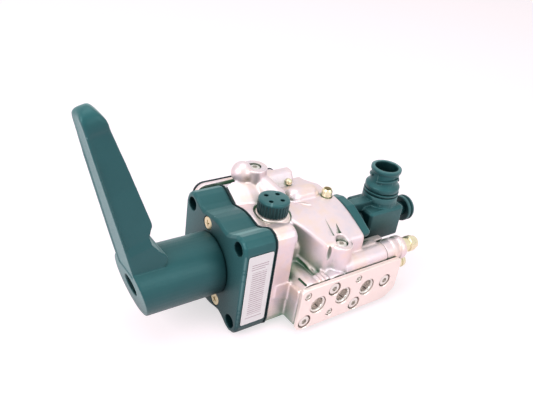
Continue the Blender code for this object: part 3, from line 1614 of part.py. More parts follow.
def make_fittings(cap_back):
    shank = FITTING_BORE_RADIUS + PAST
    big, small = TEST_POINT_RADIUS, TEST_POINT_RADIUS * 0.8
    rings = [
        (big, 0), (big, 4 * MM), (small, 4.6 * MM), (small, 7 * MM), (big, 7.6 * MM),
        (big, 11 * MM), (small, TEST_POINT_LENGTH - MM), (small, TEST_POINT_LENGTH),
    ]
    point = hollow_fitting("point", (cap_back + GAP, PILOT_Y, PILOT_Z), "+X", rings, shank)
    brass(point, "test_point")

    seat = PLATE_BACK - 0.8 * MM + GAP
    tube = SIDE_FITTING_TUBE_RADIUS
    rings = [(tube, 0), (tube, SIDE_FITTING_LENGTH)]
    side = hollow_fitting("side", (seat, SIDE_FITTING_Y, PORT_HEIGHT), "+X", rings, shank)
    hexagon = rod(
        "hexagon",
        (seat, SIDE_FITTING_Y, PORT_HEIGHT),
        "+X",
        SIDE_FITTING_HEX_LENGTH,
        SIDE_FITTING_HEX_RADIUS,
        6,
    )
    hole = rod(
        "hexagon_hole",
        (seat - PAST, SIDE_FITTING_Y, PORT_HEIGHT),
        "+X",
        SIDE_FITTING_HEX_LENGTH + 2 * PAST,
        FITTING_BORE_RADIUS + 0.5 * MM,
        18,
    )
    cut(hexagon, hole)
    join(side, hexagon)
    brass(side, "side_fitting")

    rings = [
        (TOP_FITTING_RADIUS, 0), (TOP_FITTING_RADIUS, TOP_FITTING_HEIGHT * 0.7),
        (TOP_FITTING_RADIUS - MM, TOP_FITTING_HEIGHT),
    ]
    top = hollow_fitting("top", (TOP_FITTING_X, TOP_FITTING_Y, HUMP_RIDGE + GAP), "+Z", rings, shank)
    brass(top, "top_fitting")


def make_boss_screws():
    for name, x, y, top in boss_places():
        at = (x, y, top - BOSS_SCREW_SUNK)
        screw = socket_screw(
            name,
            at,
            "-Z",
            BOSS_SCREW_HEAD_RADIUS,
            BOSS_SCREW_HEAD_LENGTH,
            BOSS_SCREW_RADIUS,
            BOSS_SCREW_LENGTH,
        )
        finish(screw, f"{name}_screw", ZINC_PLATE, 0.35, 1.0)


# Far side


def make_side_stack():
    near = FAR_WALL + GAP
    plate_far = near + SIDE_PLATE_THICKNESS
    seal_near = plate_far + GAP
    seal_far = seal_near + SIDE_SEAL_THICKNESS
    cover_near = seal_far + GAP
    cover_far = cover_near + SIDE_COVER_THICKNESS
    lip = SIDE_SEAL_LIP
    base = plate(
        "side_base",
        rounded_rectangle(SIDE_FRONT, SIDE_BACK, -SIDE_BOTTOM, SIDE_TOP, SIDE_CORNER_RADIUS, 3),
        "Y", near, plate_far,
    )
    seal = plate(
        "side_gasket",
        rounded_rectangle(
            SIDE_FRONT - lip,
            SIDE_BACK + lip,
            -SIDE_BOTTOM - lip,
            SIDE_TOP + lip,
            SIDE_CORNER_RADIUS,
            3,
        ),
        "Y", seal_near, seal_far,
    )
    drop = SIDE_COVER_DROP
    cover = plate(
        "side_lid",
        rounded_rectangle(
            SIDE_FRONT + drop,
            SIDE_BACK - drop,
            -SIDE_BOTTOM + drop,
            SIDE_TOP - drop,
            SIDE_CORNER_RADIUS,
            3,
        ),
        "Y", cover_near, cover_far,
    )
    soften(cover, 0.8 * MM)
    for i, (x, z) in enumerate(side_screw_places()):
        hole = rod(
            f"side_hole_{i}",
            (x, FAR_WALL - PAST, z),
            "+Y",
            cover_far - FAR_WALL + 2 * PAST,
            SIDE_SCREW_RADIUS + GAP,
            12,
        )
        cut(base, hole)
        cut(seal, hole)
        cut(cover, hole)
        screw = socket_screw(
            f"side_screw_{i}", (x, cover_far + GAP + 2.6 * MM, z), "-Y", SIDE_SCREW_HEAD_RADIUS, 2.6 * MM,
            SIDE_SCREW_RADIUS, cover_far - FAR_WALL - GAP,
        )
        finish(screw, f"side_screw_{i + 1}", ZINC_PLATE, 0.35, 1.0)
    aluminium(base, "side_plate")
    rubber(seal, "side_seal")
    aluminium(cover, "side_cover")


def side_screw_places():
    inset = SIDE_COVER_DROP + SIDE_SCREW_INSET
    return [
        (x, z)
        for x in (SIDE_FRONT + inset, SIDE_BACK - inset)
        for z in (-SIDE_BOTTOM + inset, SIDE_TOP - inset)
    ]


# Solenoid


def coil_flange_outline():
    """Follows the roof's section at the back of the body, as (y, z) points."""
    low = SOLENOID_Z - COIL_HEIGHT_DOWN
    near = -HUMP_NEAR + 3 * MM
    far = SOLENOID_Y + COIL_HALF_WIDTH
    return [
        (near + 6 * MM, PILOT_Z + PILOT_BARREL_RADIUS + MM),
        (near + MM, HUMP_EAVE - 5 * MM),
        (near + 0.6 * MM, HUMP_EAVE - 1.5 * MM),
        (-23 * MM, HUMP_EAVE + 4.5 * MM),
        (-15 * MM, HUMP_RIDGE - 2.4 * MM),
        (-4 * MM, HUMP_RIDGE - 1.6 * MM),
        (far, HUMP_RIDGE - 4 * MM),
        (far, low),
        (SOLENOID_Y - COIL_HALF_WIDTH, low),
    ]


def make_coil_body():
    front = BODY_BACK + GAP
    flange = soften(
        plate("coil_flange", coil_flange_outline(), "X", front, front + COIL_FLANGE_THICKNESS),
        1.2 * MM,
    )
    waist = rod(
        "coil_waist",
        (front + PAST, SOLENOID_Y, SOLENOID_Z),
        "+X",
        COIL_BOX_FRONT - front,
        COIL_HEIGHT_DOWN - 2 * MM,
        20,
    )
    near, far = SOLENOID_Y - COIL_HALF_WIDTH, SOLENOID_Y + COIL_HALF_WIDTH
    low, high = SOLENOID_Z - COIL_HEIGHT_DOWN, SOLENOID_Z + COIL_HEIGHT_UP
    case = soften(box("coil_case", (COIL_BOX_FRONT, near, low), (COIL_BACK, far, high)), 1.8 * MM)
    shoulder = rod(
        "coil_shoulder", (CONNECTOR_X, SOLENOID_Y, high - 2 * MM), "+Z", 6 * MM, COIL_HALF_WIDTH - MM, 18,
        CONNECTOR_NECK_RADIUS - 0.2 * MM,
    )
    web = plate(
        "coil_web",
        [
            (front + 2 * MM, HUMP_EAVE),
            (COIL_BOX_FRONT + 4 * MM, HUMP_EAVE),
            (CONNECTOR_X - 4 * MM, high + 4 * MM),
            (COIL_BOX_FRONT - MM, high + 4 * MM),
            (front + 2 * MM, HUMP_RIDGE - 4 * MM),
        ],
        "Y", SOLENOID_Y - 4 * MM, SOLENOID_Y + 4 * MM,
    )
    forms = [waist, case, shoulder, web, make_connector(high)]
    length = COIL_BACK - front + 2 * PAST
    bore = rod("coil_bore", (front - PAST, SOLENOID_Y, SOLENOID_Z), "+X", length, TUBE_RADIUS + GAP)
    floor = CONNECTOR_TOP - CONNECTOR_SOCKET_DEPTH
    depth = CONTACT_LENGTH * 0.35
    hollows = [
        bore,
        rod(
            "socket", (CONNECTOR_X, SOLENOID_Y, floor), "+Z", CONNECTOR_SOCKET_DEPTH + PAST,
            CONNECTOR_SOCKET_RADIUS, 18,
        ),
    ]
    for i, place in enumerate(contact_places()):
        seat = (*place, floor - depth)
        hollows.append(rod(f"contact_hole_{i}", seat, "+Z", depth + PAST, CONTACT_RADIUS + GAP, 8))
    # The exact solver leaves open edges where the bore grazes the waist
    combine(flange, forms, "UNION", "MANIFOLD")
    combine(flange, hollows, "DIFFERENCE", "MANIFOLD")
    plastic(flange, "solenoid_coil")


def contact_places():
    places = []
    for i in range(CONTACT_COUNT):
        angle = math.pi / 4 + 2 * math.pi * i / CONTACT_COUNT
        places.append(
            (
                CONNECTOR_X + CONTACT_CIRCLE * math.cos(angle),
                SOLENOID_Y + CONTACT_CIRCLE * math.sin(angle),
            ),
        )
    return places


def make_connector(shoulder_top):
    """The bayonet collar: a solid turned shape with its grooves, hollowed later by the socket."""
    base, collar = CONNECTOR_COLLAR_BASE, CONNECTOR_COLLAR_RADIUS
    step = base + CONNECTOR_COLLAR_HEIGHT
    ring, top = CONNECTOR_RING_RADIUS, CONNECTOR_TOP
    profile = [
        (0, top),
        (ring, top),
        (ring, top - 2.4 * MM),
        (ring - 0.9 * MM, top - 3.2 * MM),
        (ring - 0.9 * MM, step + 1.6 * MM),
        (collar - 1.4 * MM, step),
        (collar - 0.4 * MM, step - 0.8 * MM),
        (collar - 0.4 * MM, base + 3.0 * MM),
        (collar - 1.3 * MM, base + 2.4 * MM),
        (collar, base + 1.6 * MM),
        (collar - 0.9 * MM, base),
        (CONNECTOR_NECK_RADIUS, base - 0.8 * MM),
        (CONNECTOR_NECK_RADIUS, shoulder_top - PAST),
        (0, shoulder_top - PAST),
    ]
    body = turned("connector", (CONNECTOR_X, SOLENOID_Y, 0), "+Z", profile, 18)
    for i in range(3):
        angle = math.radians(-100 + 120 * i)
        place = (
            CONNECTOR_X + (ring - 0.4 * MM) * math.cos(angle),
            SOLENOID_Y + (ring - 0.4 * MM) * math.sin(angle),
            step - MM,
        )
        lug = soften(rod(f"bayonet_lug_{i}", place, "+Z", 4.5 * MM, 1.6 * MM, 10), 0.3 * MM)
        join(body, lug)
    return body


def make_contacts():
    floor = CONNECTOR_TOP - CONNECTOR_SOCKET_DEPTH
    for i, place in enumerate(contact_places()):
        start = floor - CONTACT_LENGTH * 0.35 + GAP
        contact = rod(f"contact_{i}", (*place, start), "+Z", CONTACT_LENGTH, CONTACT_RADIUS, 8)
        brass(contact, f"connector_contact_{i + 1}")


def make_solenoid_inside():
    at = (0, SOLENOID_Y, SOLENOID_Z)
    front = BODY_BACK - TUBE_INSERTION
    inner = TUBE_RADIUS - TUBE_WALL
    tube_back = COIL_BACK + TUBE_STANDOUT
    nut_front = tube_back + NUT_STANDOUT
    floor = tube_back - TUBE_END_WALL
    profile = [
        (0, nut_front + NUT_THICKNESS + MM),
        (STUD_RADIUS, nut_front + NUT_THICKNESS + MM),
        (STUD_RADIUS, tube_back),
        (TUBE_RADIUS, tube_back),
        (TUBE_RADIUS, front),
        (inner, front),
        (inner, floor),
        (0, floor),
    ]
    steel(turned("tube", at, "+X", profile), "armature_tube")
    nut_profile = [
        (STUD_RADIUS + GAP, nut_front + NUT_THICKNESS),
        (NUT_RADIUS - 1.5 * MM, nut_front + NUT_THICKNESS),
        (NUT_RADIUS, nut_front + NUT_THICKNESS - MM),
        (NUT_RADIUS, nut_front + 4.5 * MM),
        (NUT_RADIUS - 1.2 * MM, nut_front + 3.5 * MM),
        (NUT_RADIUS, nut_front + 2.5 * MM),
        (NUT_RADIUS, nut_front),
        (TUBE_RADIUS - MM, nut_front),
        (TUBE_RADIUS - MM, tube_back + GAP),
        (STUD_RADIUS + GAP, tube_back + GAP),
    ]
    plastic(turned("nut", at, "+X", nut_profile), "coil_nut")

    carrier = bpy.data.objects.new("armature_axis", None)
    carrier.location = at
    PARTS.objects.link(carrier)
    stop_front = floor - GAP - CORE_STOP_LENGTH
    spring_start = stop_front - GAP - ARMATURE_SPRING_LENGTH
    start = BODY_BACK
    slug = rod("slug", (start, 0, 0), "+X", spring_start - GAP - start, inner - GAP, 16)
    steel(slug, "armature", carrier)
    stop = rod("stop", (stop_front, SOLENOID_Y, SOLENOID_Z), "+X", CORE_STOP_LENGTH, inner - GAP, 20)
    steel(stop, "armature_stop")
    spring = coil(
        "spring", (spring_start, SOLENOID_Y, SOLENOID_Z), "+X", inner - 2 * GAP - ARMATURE_SPRING_WIRE,
        ARMATURE_SPRING_LENGTH, 3, ARMATURE_SPRING_WIRE,
    )
    steel(spring, "armature_spring")


def main():
    lever_axis = bpy.data.objects.new("lever_axis", None)
    PARTS.objects.link(lever_axis)
    make_lever(lever_axis)
    make_shaft(lever_axis)
    make_detent_disc(lever_axis)
    make_rotary_disc(lever_axis)
    make_seat_plate()
    make_housing()
    make_detent_plunger()
    make_housing_screws()
    make_gasket()
    make_label()
    make_body()
    make_silencer()
    make_port_plate()
    make_plate_fasteners()
    make_ports()
    cap_back = make_pilot()
    make_fittings(cap_back)
    make_boss_screws()
    make_side_stack()
    make_coil_body()
    make_contacts()
    make_solenoid_inside()


main()
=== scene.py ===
import json
import math

import bmesh
import bpy
from bpy.props import FloatProperty, FloatVectorProperty, IntProperty, PointerProperty
from bpy.types import Operator, Panel, PropertyGroup
from mathutils import Matrix, Vector


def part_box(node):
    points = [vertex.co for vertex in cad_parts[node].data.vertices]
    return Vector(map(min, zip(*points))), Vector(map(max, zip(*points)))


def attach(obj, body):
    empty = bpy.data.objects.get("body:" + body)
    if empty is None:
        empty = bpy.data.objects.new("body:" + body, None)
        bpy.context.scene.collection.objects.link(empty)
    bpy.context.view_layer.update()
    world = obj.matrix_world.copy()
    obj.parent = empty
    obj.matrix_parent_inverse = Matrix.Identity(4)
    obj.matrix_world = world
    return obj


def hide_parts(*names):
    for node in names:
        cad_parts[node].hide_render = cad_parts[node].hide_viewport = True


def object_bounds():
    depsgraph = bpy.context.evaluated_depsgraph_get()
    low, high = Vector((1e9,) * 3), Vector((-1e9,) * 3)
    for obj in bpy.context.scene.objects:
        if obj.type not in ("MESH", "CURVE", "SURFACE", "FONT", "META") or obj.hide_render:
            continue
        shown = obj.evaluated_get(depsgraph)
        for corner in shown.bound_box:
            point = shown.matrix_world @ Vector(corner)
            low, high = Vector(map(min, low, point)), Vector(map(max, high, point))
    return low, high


bl_info = {
    "name": "Leveling valve dressing",
    "version": (1, 0, 0),
    "blender": (4, 5, 0),
    "location": "3D View > Sidebar > Valve",
    "description": "Cast, moulded, milled and turned finishes for an air suspension leveling valve",
    "category": "Object",
}

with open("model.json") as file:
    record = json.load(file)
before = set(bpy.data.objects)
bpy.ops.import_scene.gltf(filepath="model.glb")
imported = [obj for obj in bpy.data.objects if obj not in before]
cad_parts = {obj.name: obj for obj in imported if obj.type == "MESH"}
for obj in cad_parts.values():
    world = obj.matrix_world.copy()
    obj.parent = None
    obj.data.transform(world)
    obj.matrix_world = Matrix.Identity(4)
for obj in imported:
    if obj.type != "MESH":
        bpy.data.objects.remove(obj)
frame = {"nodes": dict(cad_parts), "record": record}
CAD_BOX = [list(corner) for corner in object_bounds()]
MM = 0.001
TO_MM = Matrix.Scale(1 / MM, 4)
TO_METRES = Matrix.Scale(MM, 4)

# Places on the valve, in millimetres
PORTS = [50.3 + 20.75 * i for i in range(3)]  # X of the three ports
PORT_HEIGHT = -15.2
SILENCER = (39.0, -5.0)  # X and Y
NEAR_BOSS = (73.0, -36.5)  # X and Y
FAR_BOSS = (43.5, 25.5)  # X and Y
PLUG_SOCKET = (129.0, -10.0)  # X and Y
BARREL = (-38.4, -0.4)  # Y and Z of the pilot barrel's axis


# Colours and sizes


def linear(code):
    """Turns an sRGB hex colour into linear values."""
    parts = [int(code[i : i + 2], 16) / 255 for i in (1, 3, 5)]
    return [p / 12.92 if p <= 0.04045 else ((p + 0.055) / 1.055) ** 2.4 for p in parts]


def colour(label, words, code):
    """A colour that a user may change."""
    return FloatVectorProperty(
        name=label, description=words, subtype="COLOR", size=3, min=0, max=1, default=linear(code)
    )


def length(label, words, millimetres):
    """A length that a user may change."""
    return FloatProperty(
        name=label, description=words, subtype="DISTANCE", unit="LENGTH", min=0,
        default=millimetres * MM,
    )


def count(label, words, least, usual):
    """A number that a user may change."""
    return IntProperty(name=label, description=words, min=least, default=usual)


def power(label, words, watts):
    """A lamp's power that a user may change."""
    return FloatProperty(
        name=label, description=words, subtype="POWER", unit="POWER", min=0, default=watts
    )


class ValveFinishes(PropertyGroup):
    nylon: colour("Nylon", "Moulded nylon in the shade", "#0e464a")
    nylon_flow: colour("Nylon flow marks", "Nylon where the melt flowed thin", "#1c575b")
    nylon_rubbed: colour("Rubbed nylon", "Nylon at handled edges", "#5d8083")
    # The next colour is painted shade: nylon is darkened to it in hollows, where little light
    # reaches
    nylon_hollow: colour("Nylon hollows", "Nylon where little light reaches", "#022226")
    casting: colour("Casting", "Blasted cast aluminium", "#e8d6d9")
    casting_warm: colour("Warm casting", "Warm clouds in the cast skin", "#ead4cc")
    casting_cool: colour("Cool casting", "Cool clouds in the cast skin", "#ded2da")
    # The next colour is painted shade: the cast skin is darkened to this grey-green in hollows
    casting_hollow: colour("Cast hollows", "Cast skin deep in hollows", "#548468")
    milled: colour("Milled aluminium", "Milled plate and seats", "#faebe5")
    zinc: colour("Zinc plate", "Plated screws and rings", "#eeeae4")
    yellow_zinc: colour("Yellow zinc", "Passivated housing screws", "#efdfb8")
    brass: colour("Brass", "Turned fittings", "#f2e7c4")
    steel: colour("Steel", "Ground inner pieces", "#cfcccb")
    rubber: colour("Rubber", "Gaskets and seals", "#16282b")
    label: colour("Label film", "Face of the label", "#fbfafb")
    label_rules: colour("Label rules", "Ruled bars on the label", "#b39aa6")
    felt: colour("Felt", "Pressed filter felt", "#cfc6b2")


class ValveSizes(PropertyGroup):
    cast_grid: length("Cast grid", "Fineness of the cast skin", 0.58)
    moulded_grid: length("Moulded grid", "Fineness of the moulded skins", 0.46)
    cast_rounds: count("Cast easing", "How far the cast edges are rounded", 0, 9)
    moulded_rounds: count("Moulded easing", "How far the moulded edges are rounded", 0, 5)
    knurls: count("Cap knurls", "Grooves round the silencer's cap", 8, 30)
    rule_spacing: length("Rule spacing", "Distance between the label's ruled bars", 1.6)


class ValveStage(PropertyGroup):
    floor: colour("Floor", "Pale floor under the valve", "#c4b0b9")
    daylight: FloatProperty(
        name="Soft light", description="Even light from all round", min=0, default=0.50
    )
    key: power("Key lamp", "Power of the large lamp", 8.6)
    fill: power("Fill lamp", "Power of the second lamp", 4.1)
    top: power("Top lamp", "Power of the lamp overhead", 4.5)


# Materials

# Nodes that are added often, and a colour mix's inputs for its share and its two colours
TIMES = ("Math", {"operation": "MULTIPLY"})
GREATER = ("Math", {"operation": "MAXIMUM"})
COLOUR_MIX = ("Mix", {"data_type": "RGBA"})
SHARE, UNDER, OVER = 0, 6, 7
# At a scale of 1 the wave texture repeats over this length
WAVE_LENGTH = math.tau / 20
# The label's field of bars, and the lines over and under it, as corners in X and Z
BAR_FIELD = ((6.2, -18.5), (16.6, 13.6))
LONG_RULES = (
    ((5.4, 18.6), (17.2, 19.2)), ((5.4, 17.0), (17.2, 17.6)),
    ((5.4, 15.4), (15.0, 16.0)), ((5.4, -21.0), (17.2, -20.4)),
)


def feed(tree, node, inputs):
    """Gives a node's inputs values or links, by name or in their order. A node that is given
    stands for its first open output."""
    for key, value in inputs.items() if isinstance(inputs, dict) else enumerate(inputs):
        if isinstance(value, bpy.types.Node):
            value = next(end for end in value.outputs if end.enabled)
        if isinstance(value, bpy.types.NodeSocket):
            tree.links.new(value, node.inputs[key])
        else:
            node.inputs[key].default_value = value


def add(tree, kind, settings=None, inputs=()):
    """Adds a shader node with its settings, and feeds its inputs. A MapRange takes its value,
    the two ends that it comes from and the two that it goes to."""
    node = tree.nodes.new("ShaderNode" + kind)
    for name, value in (settings or {}).items():
        setattr(node, name, value)
    feed(tree, node, inputs)
    return node


def begin(name, metallic=0.0):
    """A material with one shader, and the place on the object."""
    made = bpy.data.materials.new(name)
    made.use_nodes = True
    tree = made.node_tree
    tree.nodes.clear()
    shader = add(tree, "BsdfPrincipled", inputs={"Metallic": metallic})
    add(tree, "OutputMaterial", inputs={"Surface": shader})
    place = add(tree, "TexCoord").outputs["Object"]
    return made, tree, shader, place


def tone(name, strength=1.0):
    """One of the colours above, darkened or lightened, with its alpha."""
    values = getattr(bpy.context.scene.valve_finishes, name)
    return (*(value * strength for value in values), 1.0)


def openness(tree, reach, low, high):
    """0 deep in hollows and 1 in the open, judged over a reach in millimetres; it places the
    painted shade of hollows.
    """
    hollow = add(tree, "AmbientOcclusion", {"samples": 8}, {"Distance": reach * MM})
    return add(tree, "MapRange", inputs=(hollow.outputs["AO"], low, high))


def skin(tree, shader, base, cloud, band, rough, height, strength, depth):
    """Gives a shader its colour, a roughness that follows a cloudy pattern, and its relief."""
    dull = add(tree, "MapRange", inputs=(cloud, *band, *rough))
    relief = add(tree, "Bump", inputs={
        "Strength": strength, "Distance": depth * MM, "Height": height,
    })
    feed(tree, shader, {"Base Color": base, "Roughness": dull, "Normal": relief})


def moulded_nylon():
    """Nylon filled with glass, injection moulded: dark and satin, with a fine spark grain,
    faint flow marks, edges that hands have rubbed and painted shade in its hollows."""
    made, tree, shader, place = begin("glass_filled_nylon_moulded")
    # Flow marks spread about 20 mm from the mould's gate
    flow = add(tree, "TexNoise", inputs={
        "Vector": place, "Scale": 1 / (20 * MM), "Detail": 4.0, "Roughness": 0.55,
        "Distortion": 0.6,
    })
    base = add(tree, *COLOUR_MIX, {SHARE: flow, UNDER: tone("nylon"), OVER: tone("nylon_flow")})
    point = add(tree, "NewGeometry").outputs["Pointiness"]
    edge = add(tree, "MapRange", inputs=(point, 0.53, 0.62, 0, 0.75))
    worn = add(tree, *COLOUR_MIX, {SHARE: edge, UNDER: base, OVER: tone("nylon_rubbed")})
    # Painted shade darkens hollows up to 50 mm deep
    open_share = openness(tree, 50, 0.42, 0.92)
    shaded = add(tree, *COLOUR_MIX, {SHARE: open_share, UNDER: tone("nylon_hollow"), OVER: worn})
    # Spark grain is near 0.2 mm, and is drawn at 0.8 mm so that it shows
    grain = add(tree, "TexNoise", inputs={"Vector": place, "Scale": 1 / (0.8 * MM), "Detail": 2.0})
    skin(tree, shader, shaded, grain, (0.3, 0.7), (0.36, 0.52), grain, 0.35, 0.06)
    # A sheen, as of a dry bloom, pales open faces that are seen at a slant, and fades with the
    # painted shade in hollows
    bloom = add(tree, *TIMES, (open_share, 0.65))
    feed(tree, shader, {
        "IOR": 1.53, "Specular Tint": (0.6, 0.96, 0.98, 1.0), "Sheen Weight": bloom,
        "Sheen Roughness": 0.4, "Sheen Tint": (0.66, 1.0, 1.0, 1.0),
    })
    return made


def cast_aluminium():
    """Aluminium, die cast and blasted: satin and faintly sandy, with warm and cool clouds,
    painted grey-green shade in hollows, and smoother faces where a mill has passed."""
    made, tree, shader, place = begin("aluminium_die_cast_blasted", 0.72)
    # Clouds of the chill skin, about 16 mm across
    clouds = add(tree, "TexNoise", inputs={
        "Vector": place, "Scale": 1 / (16 * MM), "Detail": 3.0, "Roughness": 0.6,
    })
    ramp = add(tree, "ValToRGB", inputs={"Fac": clouds})
    stops = ramp.color_ramp.elements
    stops.new(0.5)
    tones = ((0.34, "casting_cool"), (0.5, "casting"), (0.66, "casting_warm"))
    for i, (position, name) in enumerate(tones):
        stops[i].position = position
        stops[i].color = tone(name)
    # Painted grey-green shade darkens hollows up to 36 mm deep
    open_share = openness(tree, 36, 0.22, 0.64)
    shaded = add(tree, *COLOUR_MIX, {SHARE: open_share, UNDER: tone("casting_hollow"), OVER: ramp})
    # Shot leaves dents near 0.3 mm, drawn at 0.9 mm so that they show
    sand = add(tree, "TexNoise", inputs={
        "Vector": place, "Scale": 1 / (0.9 * MM), "Detail": 3.0, "Roughness": 0.6,
    })
    # The die's skin swells a little over 6 mm
    swell = add(tree, "TexNoise", inputs={"Vector": place, "Scale": 1 / (6 * MM), "Detail": 1.0})
    # A face that a mill has passed is smoother, with hardly a dent
    cut_face = add(tree, "Attribute", {"attribute_name": "milled"}).outputs["Fac"]
    sand_height = add(tree, "MapRange", inputs=(cut_face, 0, 1, 0.5, 0.05))
    rough_cast = add(tree, "MapRange", inputs=(sand, 0.3, 0.7, 0.36, 0.5))
    rough = add(tree, "Mix", {"data_type": "FLOAT"}, {0: cut_face, 2: rough_cast, 3: 0.24})
    broad = add(tree, "Bump", inputs={"Strength": 0.35, "Distance": 0.25 * MM, "Height": swell})
    fine = add(tree, "Bump", inputs={
        "Strength": sand_height, "Distance": 0.07 * MM, "Height": sand, "Normal": broad,
    })
    feed(tree, shader, {"Base Color": shaded, "Roughness": rough, "Normal": fine})
    return made


def metal(name, shade, metallic, roughness, spacing, dimmest):
    """A cut metal: fine tool marks, a little cloudiness and duller patches."""
    made, tree, shader, place = begin(name, metallic)
    marks = add(tree, "TexWave", {"bands_direction": "DIAGONAL"}, {
        "Vector": place, "Scale": WAVE_LENGTH / (spacing * MM), "Distortion": 1.2,
        "Detail": 2.0, "Detail Scale": 1.5,
    })
    # Clouds in the plating or the cut, about 7 mm across
    clouds = add(tree, "TexNoise", inputs={
        "Vector": place, "Scale": 1 / (7 * MM), "Detail": 3.0, "Roughness": 0.6,
    })
    base = add(tree, *COLOUR_MIX, {SHARE: clouds, UNDER: tone(shade, dimmest), OVER: tone(shade)})
    rough = (roughness - 0.05, roughness + 0.08)
    skin(tree, shader, base, clouds, (0.3, 0.7), rough, marks.outputs["Fac"], 0.12, 0.03)
    return made


def pressed_rubber():
    """Nitrile rubber, pressed in a mould: dark and matt, with a dusty bloom."""
    made, tree, shader, place = begin("nitrile_rubber_pressed")
    # Bloom in patches of about 3 mm
    bloom = add(tree, "TexNoise", inputs={"Vector": place, "Scale": 1 / (3 * MM), "Detail": 4.0})
    base = add(tree, *COLOUR_MIX, {SHARE: bloom, UNDER: tone("rubber"), OVER: tone("rubber", 2.2)})
    skin(tree, shader, base, bloom, (0.2, 0.8), (0.6, 0.85), bloom, 0.2, 0.05)
    return made


def window(tree, spot, low, high):
    """1 inside a rectangle in X and Z and 0 outside it."""
    share = 1.0
    for kind, corner in (("GREATER_THAN", low), ("LESS_THAN", high)):
        for axis, limit in zip("XZ", corner):
            test = add(tree, "Math", {"operation": kind}, (spot[axis], limit * MM))
            share = add(tree, *TIMES, (share, test))
    return share


def printed_film():
    """Vinyl film, coated and ruled: a soft white face with pale even bars and no words."""
    made, tree, shader, place = begin("vinyl_film_ruled")
    spot = add(tree, "SeparateXYZ", inputs={"Vector": place}).outputs
    bars = add(tree, "TexWave", {"bands_direction": "Z"}, {
        "Vector": place, "Scale": WAVE_LENGTH / bpy.context.scene.valve_sizes.rule_spacing,
    })
    ruled = add(tree, "MapRange", inputs=(bars.outputs["Fac"], 0.35, 0.65, 0, 0.8))
    inked = add(tree, *TIMES, (ruled, window(tree, spot, *BAR_FIELD)))
    for low, high in LONG_RULES:
        inked = add(tree, *GREATER, (inked, window(tree, spot, low, high)))
    # Ink that the film took unevenly, over 2 mm
    patchy = add(tree, "TexNoise", inputs={"Vector": place, "Scale": 1 / (2 * MM), "Detail": 2.0})
    weak = add(tree, "MapRange", inputs=(patchy, 0.3, 0.7, 0.6))
    amount = add(tree, *TIMES, (inked, weak))
    base = add(tree, *COLOUR_MIX, {SHARE: amount, UNDER: tone("label"), OVER: tone("label_rules")})
    rough = add(tree, "MapRange", inputs=(patchy, 0.2, 0.8, 0.38, 0.5))
    feed(tree, shader, {"Base Color": base, "Roughness": rough})
    return made


def pressed_felt():
    """Wool felt, pressed: pale and fibrous."""
    made, tree, shader, place = begin("wool_felt_pressed")
    # Tufts of fibre about 0.8 mm long
    fibres = add(tree, "TexNoise", inputs={
        "Vector": place, "Scale": 1 / (0.8 * MM), "Detail": 6.0, "Roughness": 0.7,
        "Distortion": 1.5,
    })
    base = add(tree, *COLOUR_MIX, {SHARE: fibres, UNDER: tone("felt", 0.6), OVER: tone("felt")})
    relief = add(tree, "Bump", inputs={"Strength": 0.6, "Distance": 0.2 * MM, "Height": fibres})
    feed(tree, shader, {"Base Color": base, "Roughness": 0.95, "Normal": relief})
    return made


# Each metal's name, colour, metallic share, roughness, spacing of its marks and dimmest share
METALS = {
    # Aluminium, face milled: satin, with cutter marks 0.9 mm apart
    "machined_aluminium": ("aluminium_face_milled", "milled", 0.75, 0.36, 0.9, 0.86),
    # Steel, plated with clear zinc: bright and slightly cloudy
    "zinc_plated_steel": ("steel_zinc_plated", "zinc", 0.85, 0.28, 0.7, 0.72),
    # Steel, plated with yellow passivated zinc: a soft gold
    "yellow_zinc": ("steel_yellow_zinc_plated", "yellow_zinc", 0.85, 0.3, 0.7, 0.7),
    # Brass, turned: pale, with tool marks 0.7 mm apart
    "brass": ("brass_turned", "brass", 0.8, 0.3, 0.7, 0.82),
    # Steel, ground: even and fairly bright
    "steel": ("steel_ground", "steel", 0.95, 0.25, 0.6, 0.85),
}
FINISHES = {
    "black_nylon": moulded_nylon,
    "black_rubber": pressed_rubber,
    "cast_aluminium": cast_aluminium,
    "label_film": printed_film,
    "filter_felt": pressed_felt,
}
made_finishes = {}


def finish(kind):
    """The material of a kind of finish, made when it is first asked for."""
    if kind not in made_finishes:
        made_finishes[kind] = metal(*METALS[kind]) if kind in METALS else FINISHES[kind]()
    return made_finishes[kind]


# Shapes, modelled in millimetres


def span(node):
    """A CAD node's lowest and highest corners and its middle, in millimetres."""
    low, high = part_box(node)
    return low / MM, high / MM, (low + high) / 2 / MM


def spun(profile, steps=72):
    """Spins (radius, height) points round Z. A profile that starts off the axis becomes a ring."""
    form = bmesh.new()
    points = [form.verts.new((radius, 0, height)) for radius, height in profile]
    edges = [form.edges.new(pair) for pair in zip(points, points[1:])]
    if profile[0][0] > 0:
        edges.append(form.edges.new((points[-1], points[0])))
    bmesh.ops.spin(
        form, geom=points + edges, cent=(0, 0, 0), axis=(0, 0, 1), dvec=(0, 0, 0), angle=math.tau,
        steps=steps, use_merge=True, use_duplicate=False,
    )
    bmesh.ops.remove_doubles(form, verts=form.verts, dist=0.0005)
    bmesh.ops.recalc_face_normals(form, faces=form.faces)
    return form


def rod(radius, start, end, steps=80):
    """A plain round bar between two heights."""
    return spun([(0, start), (radius, start), (radius, end), (0, end)], steps)


def hexagon(radius, low, high):
    """A six-sided bar between two heights, with a radius to its corners."""
    form = bmesh.new()
    middle = Matrix.Translation((0, 0, (low + high) / 2))
    bmesh.ops.create_cone(
        form, cap_ends=True, segments=6, radius1=radius, radius2=radius, depth=high - low,
        matrix=middle,
    )
    return form


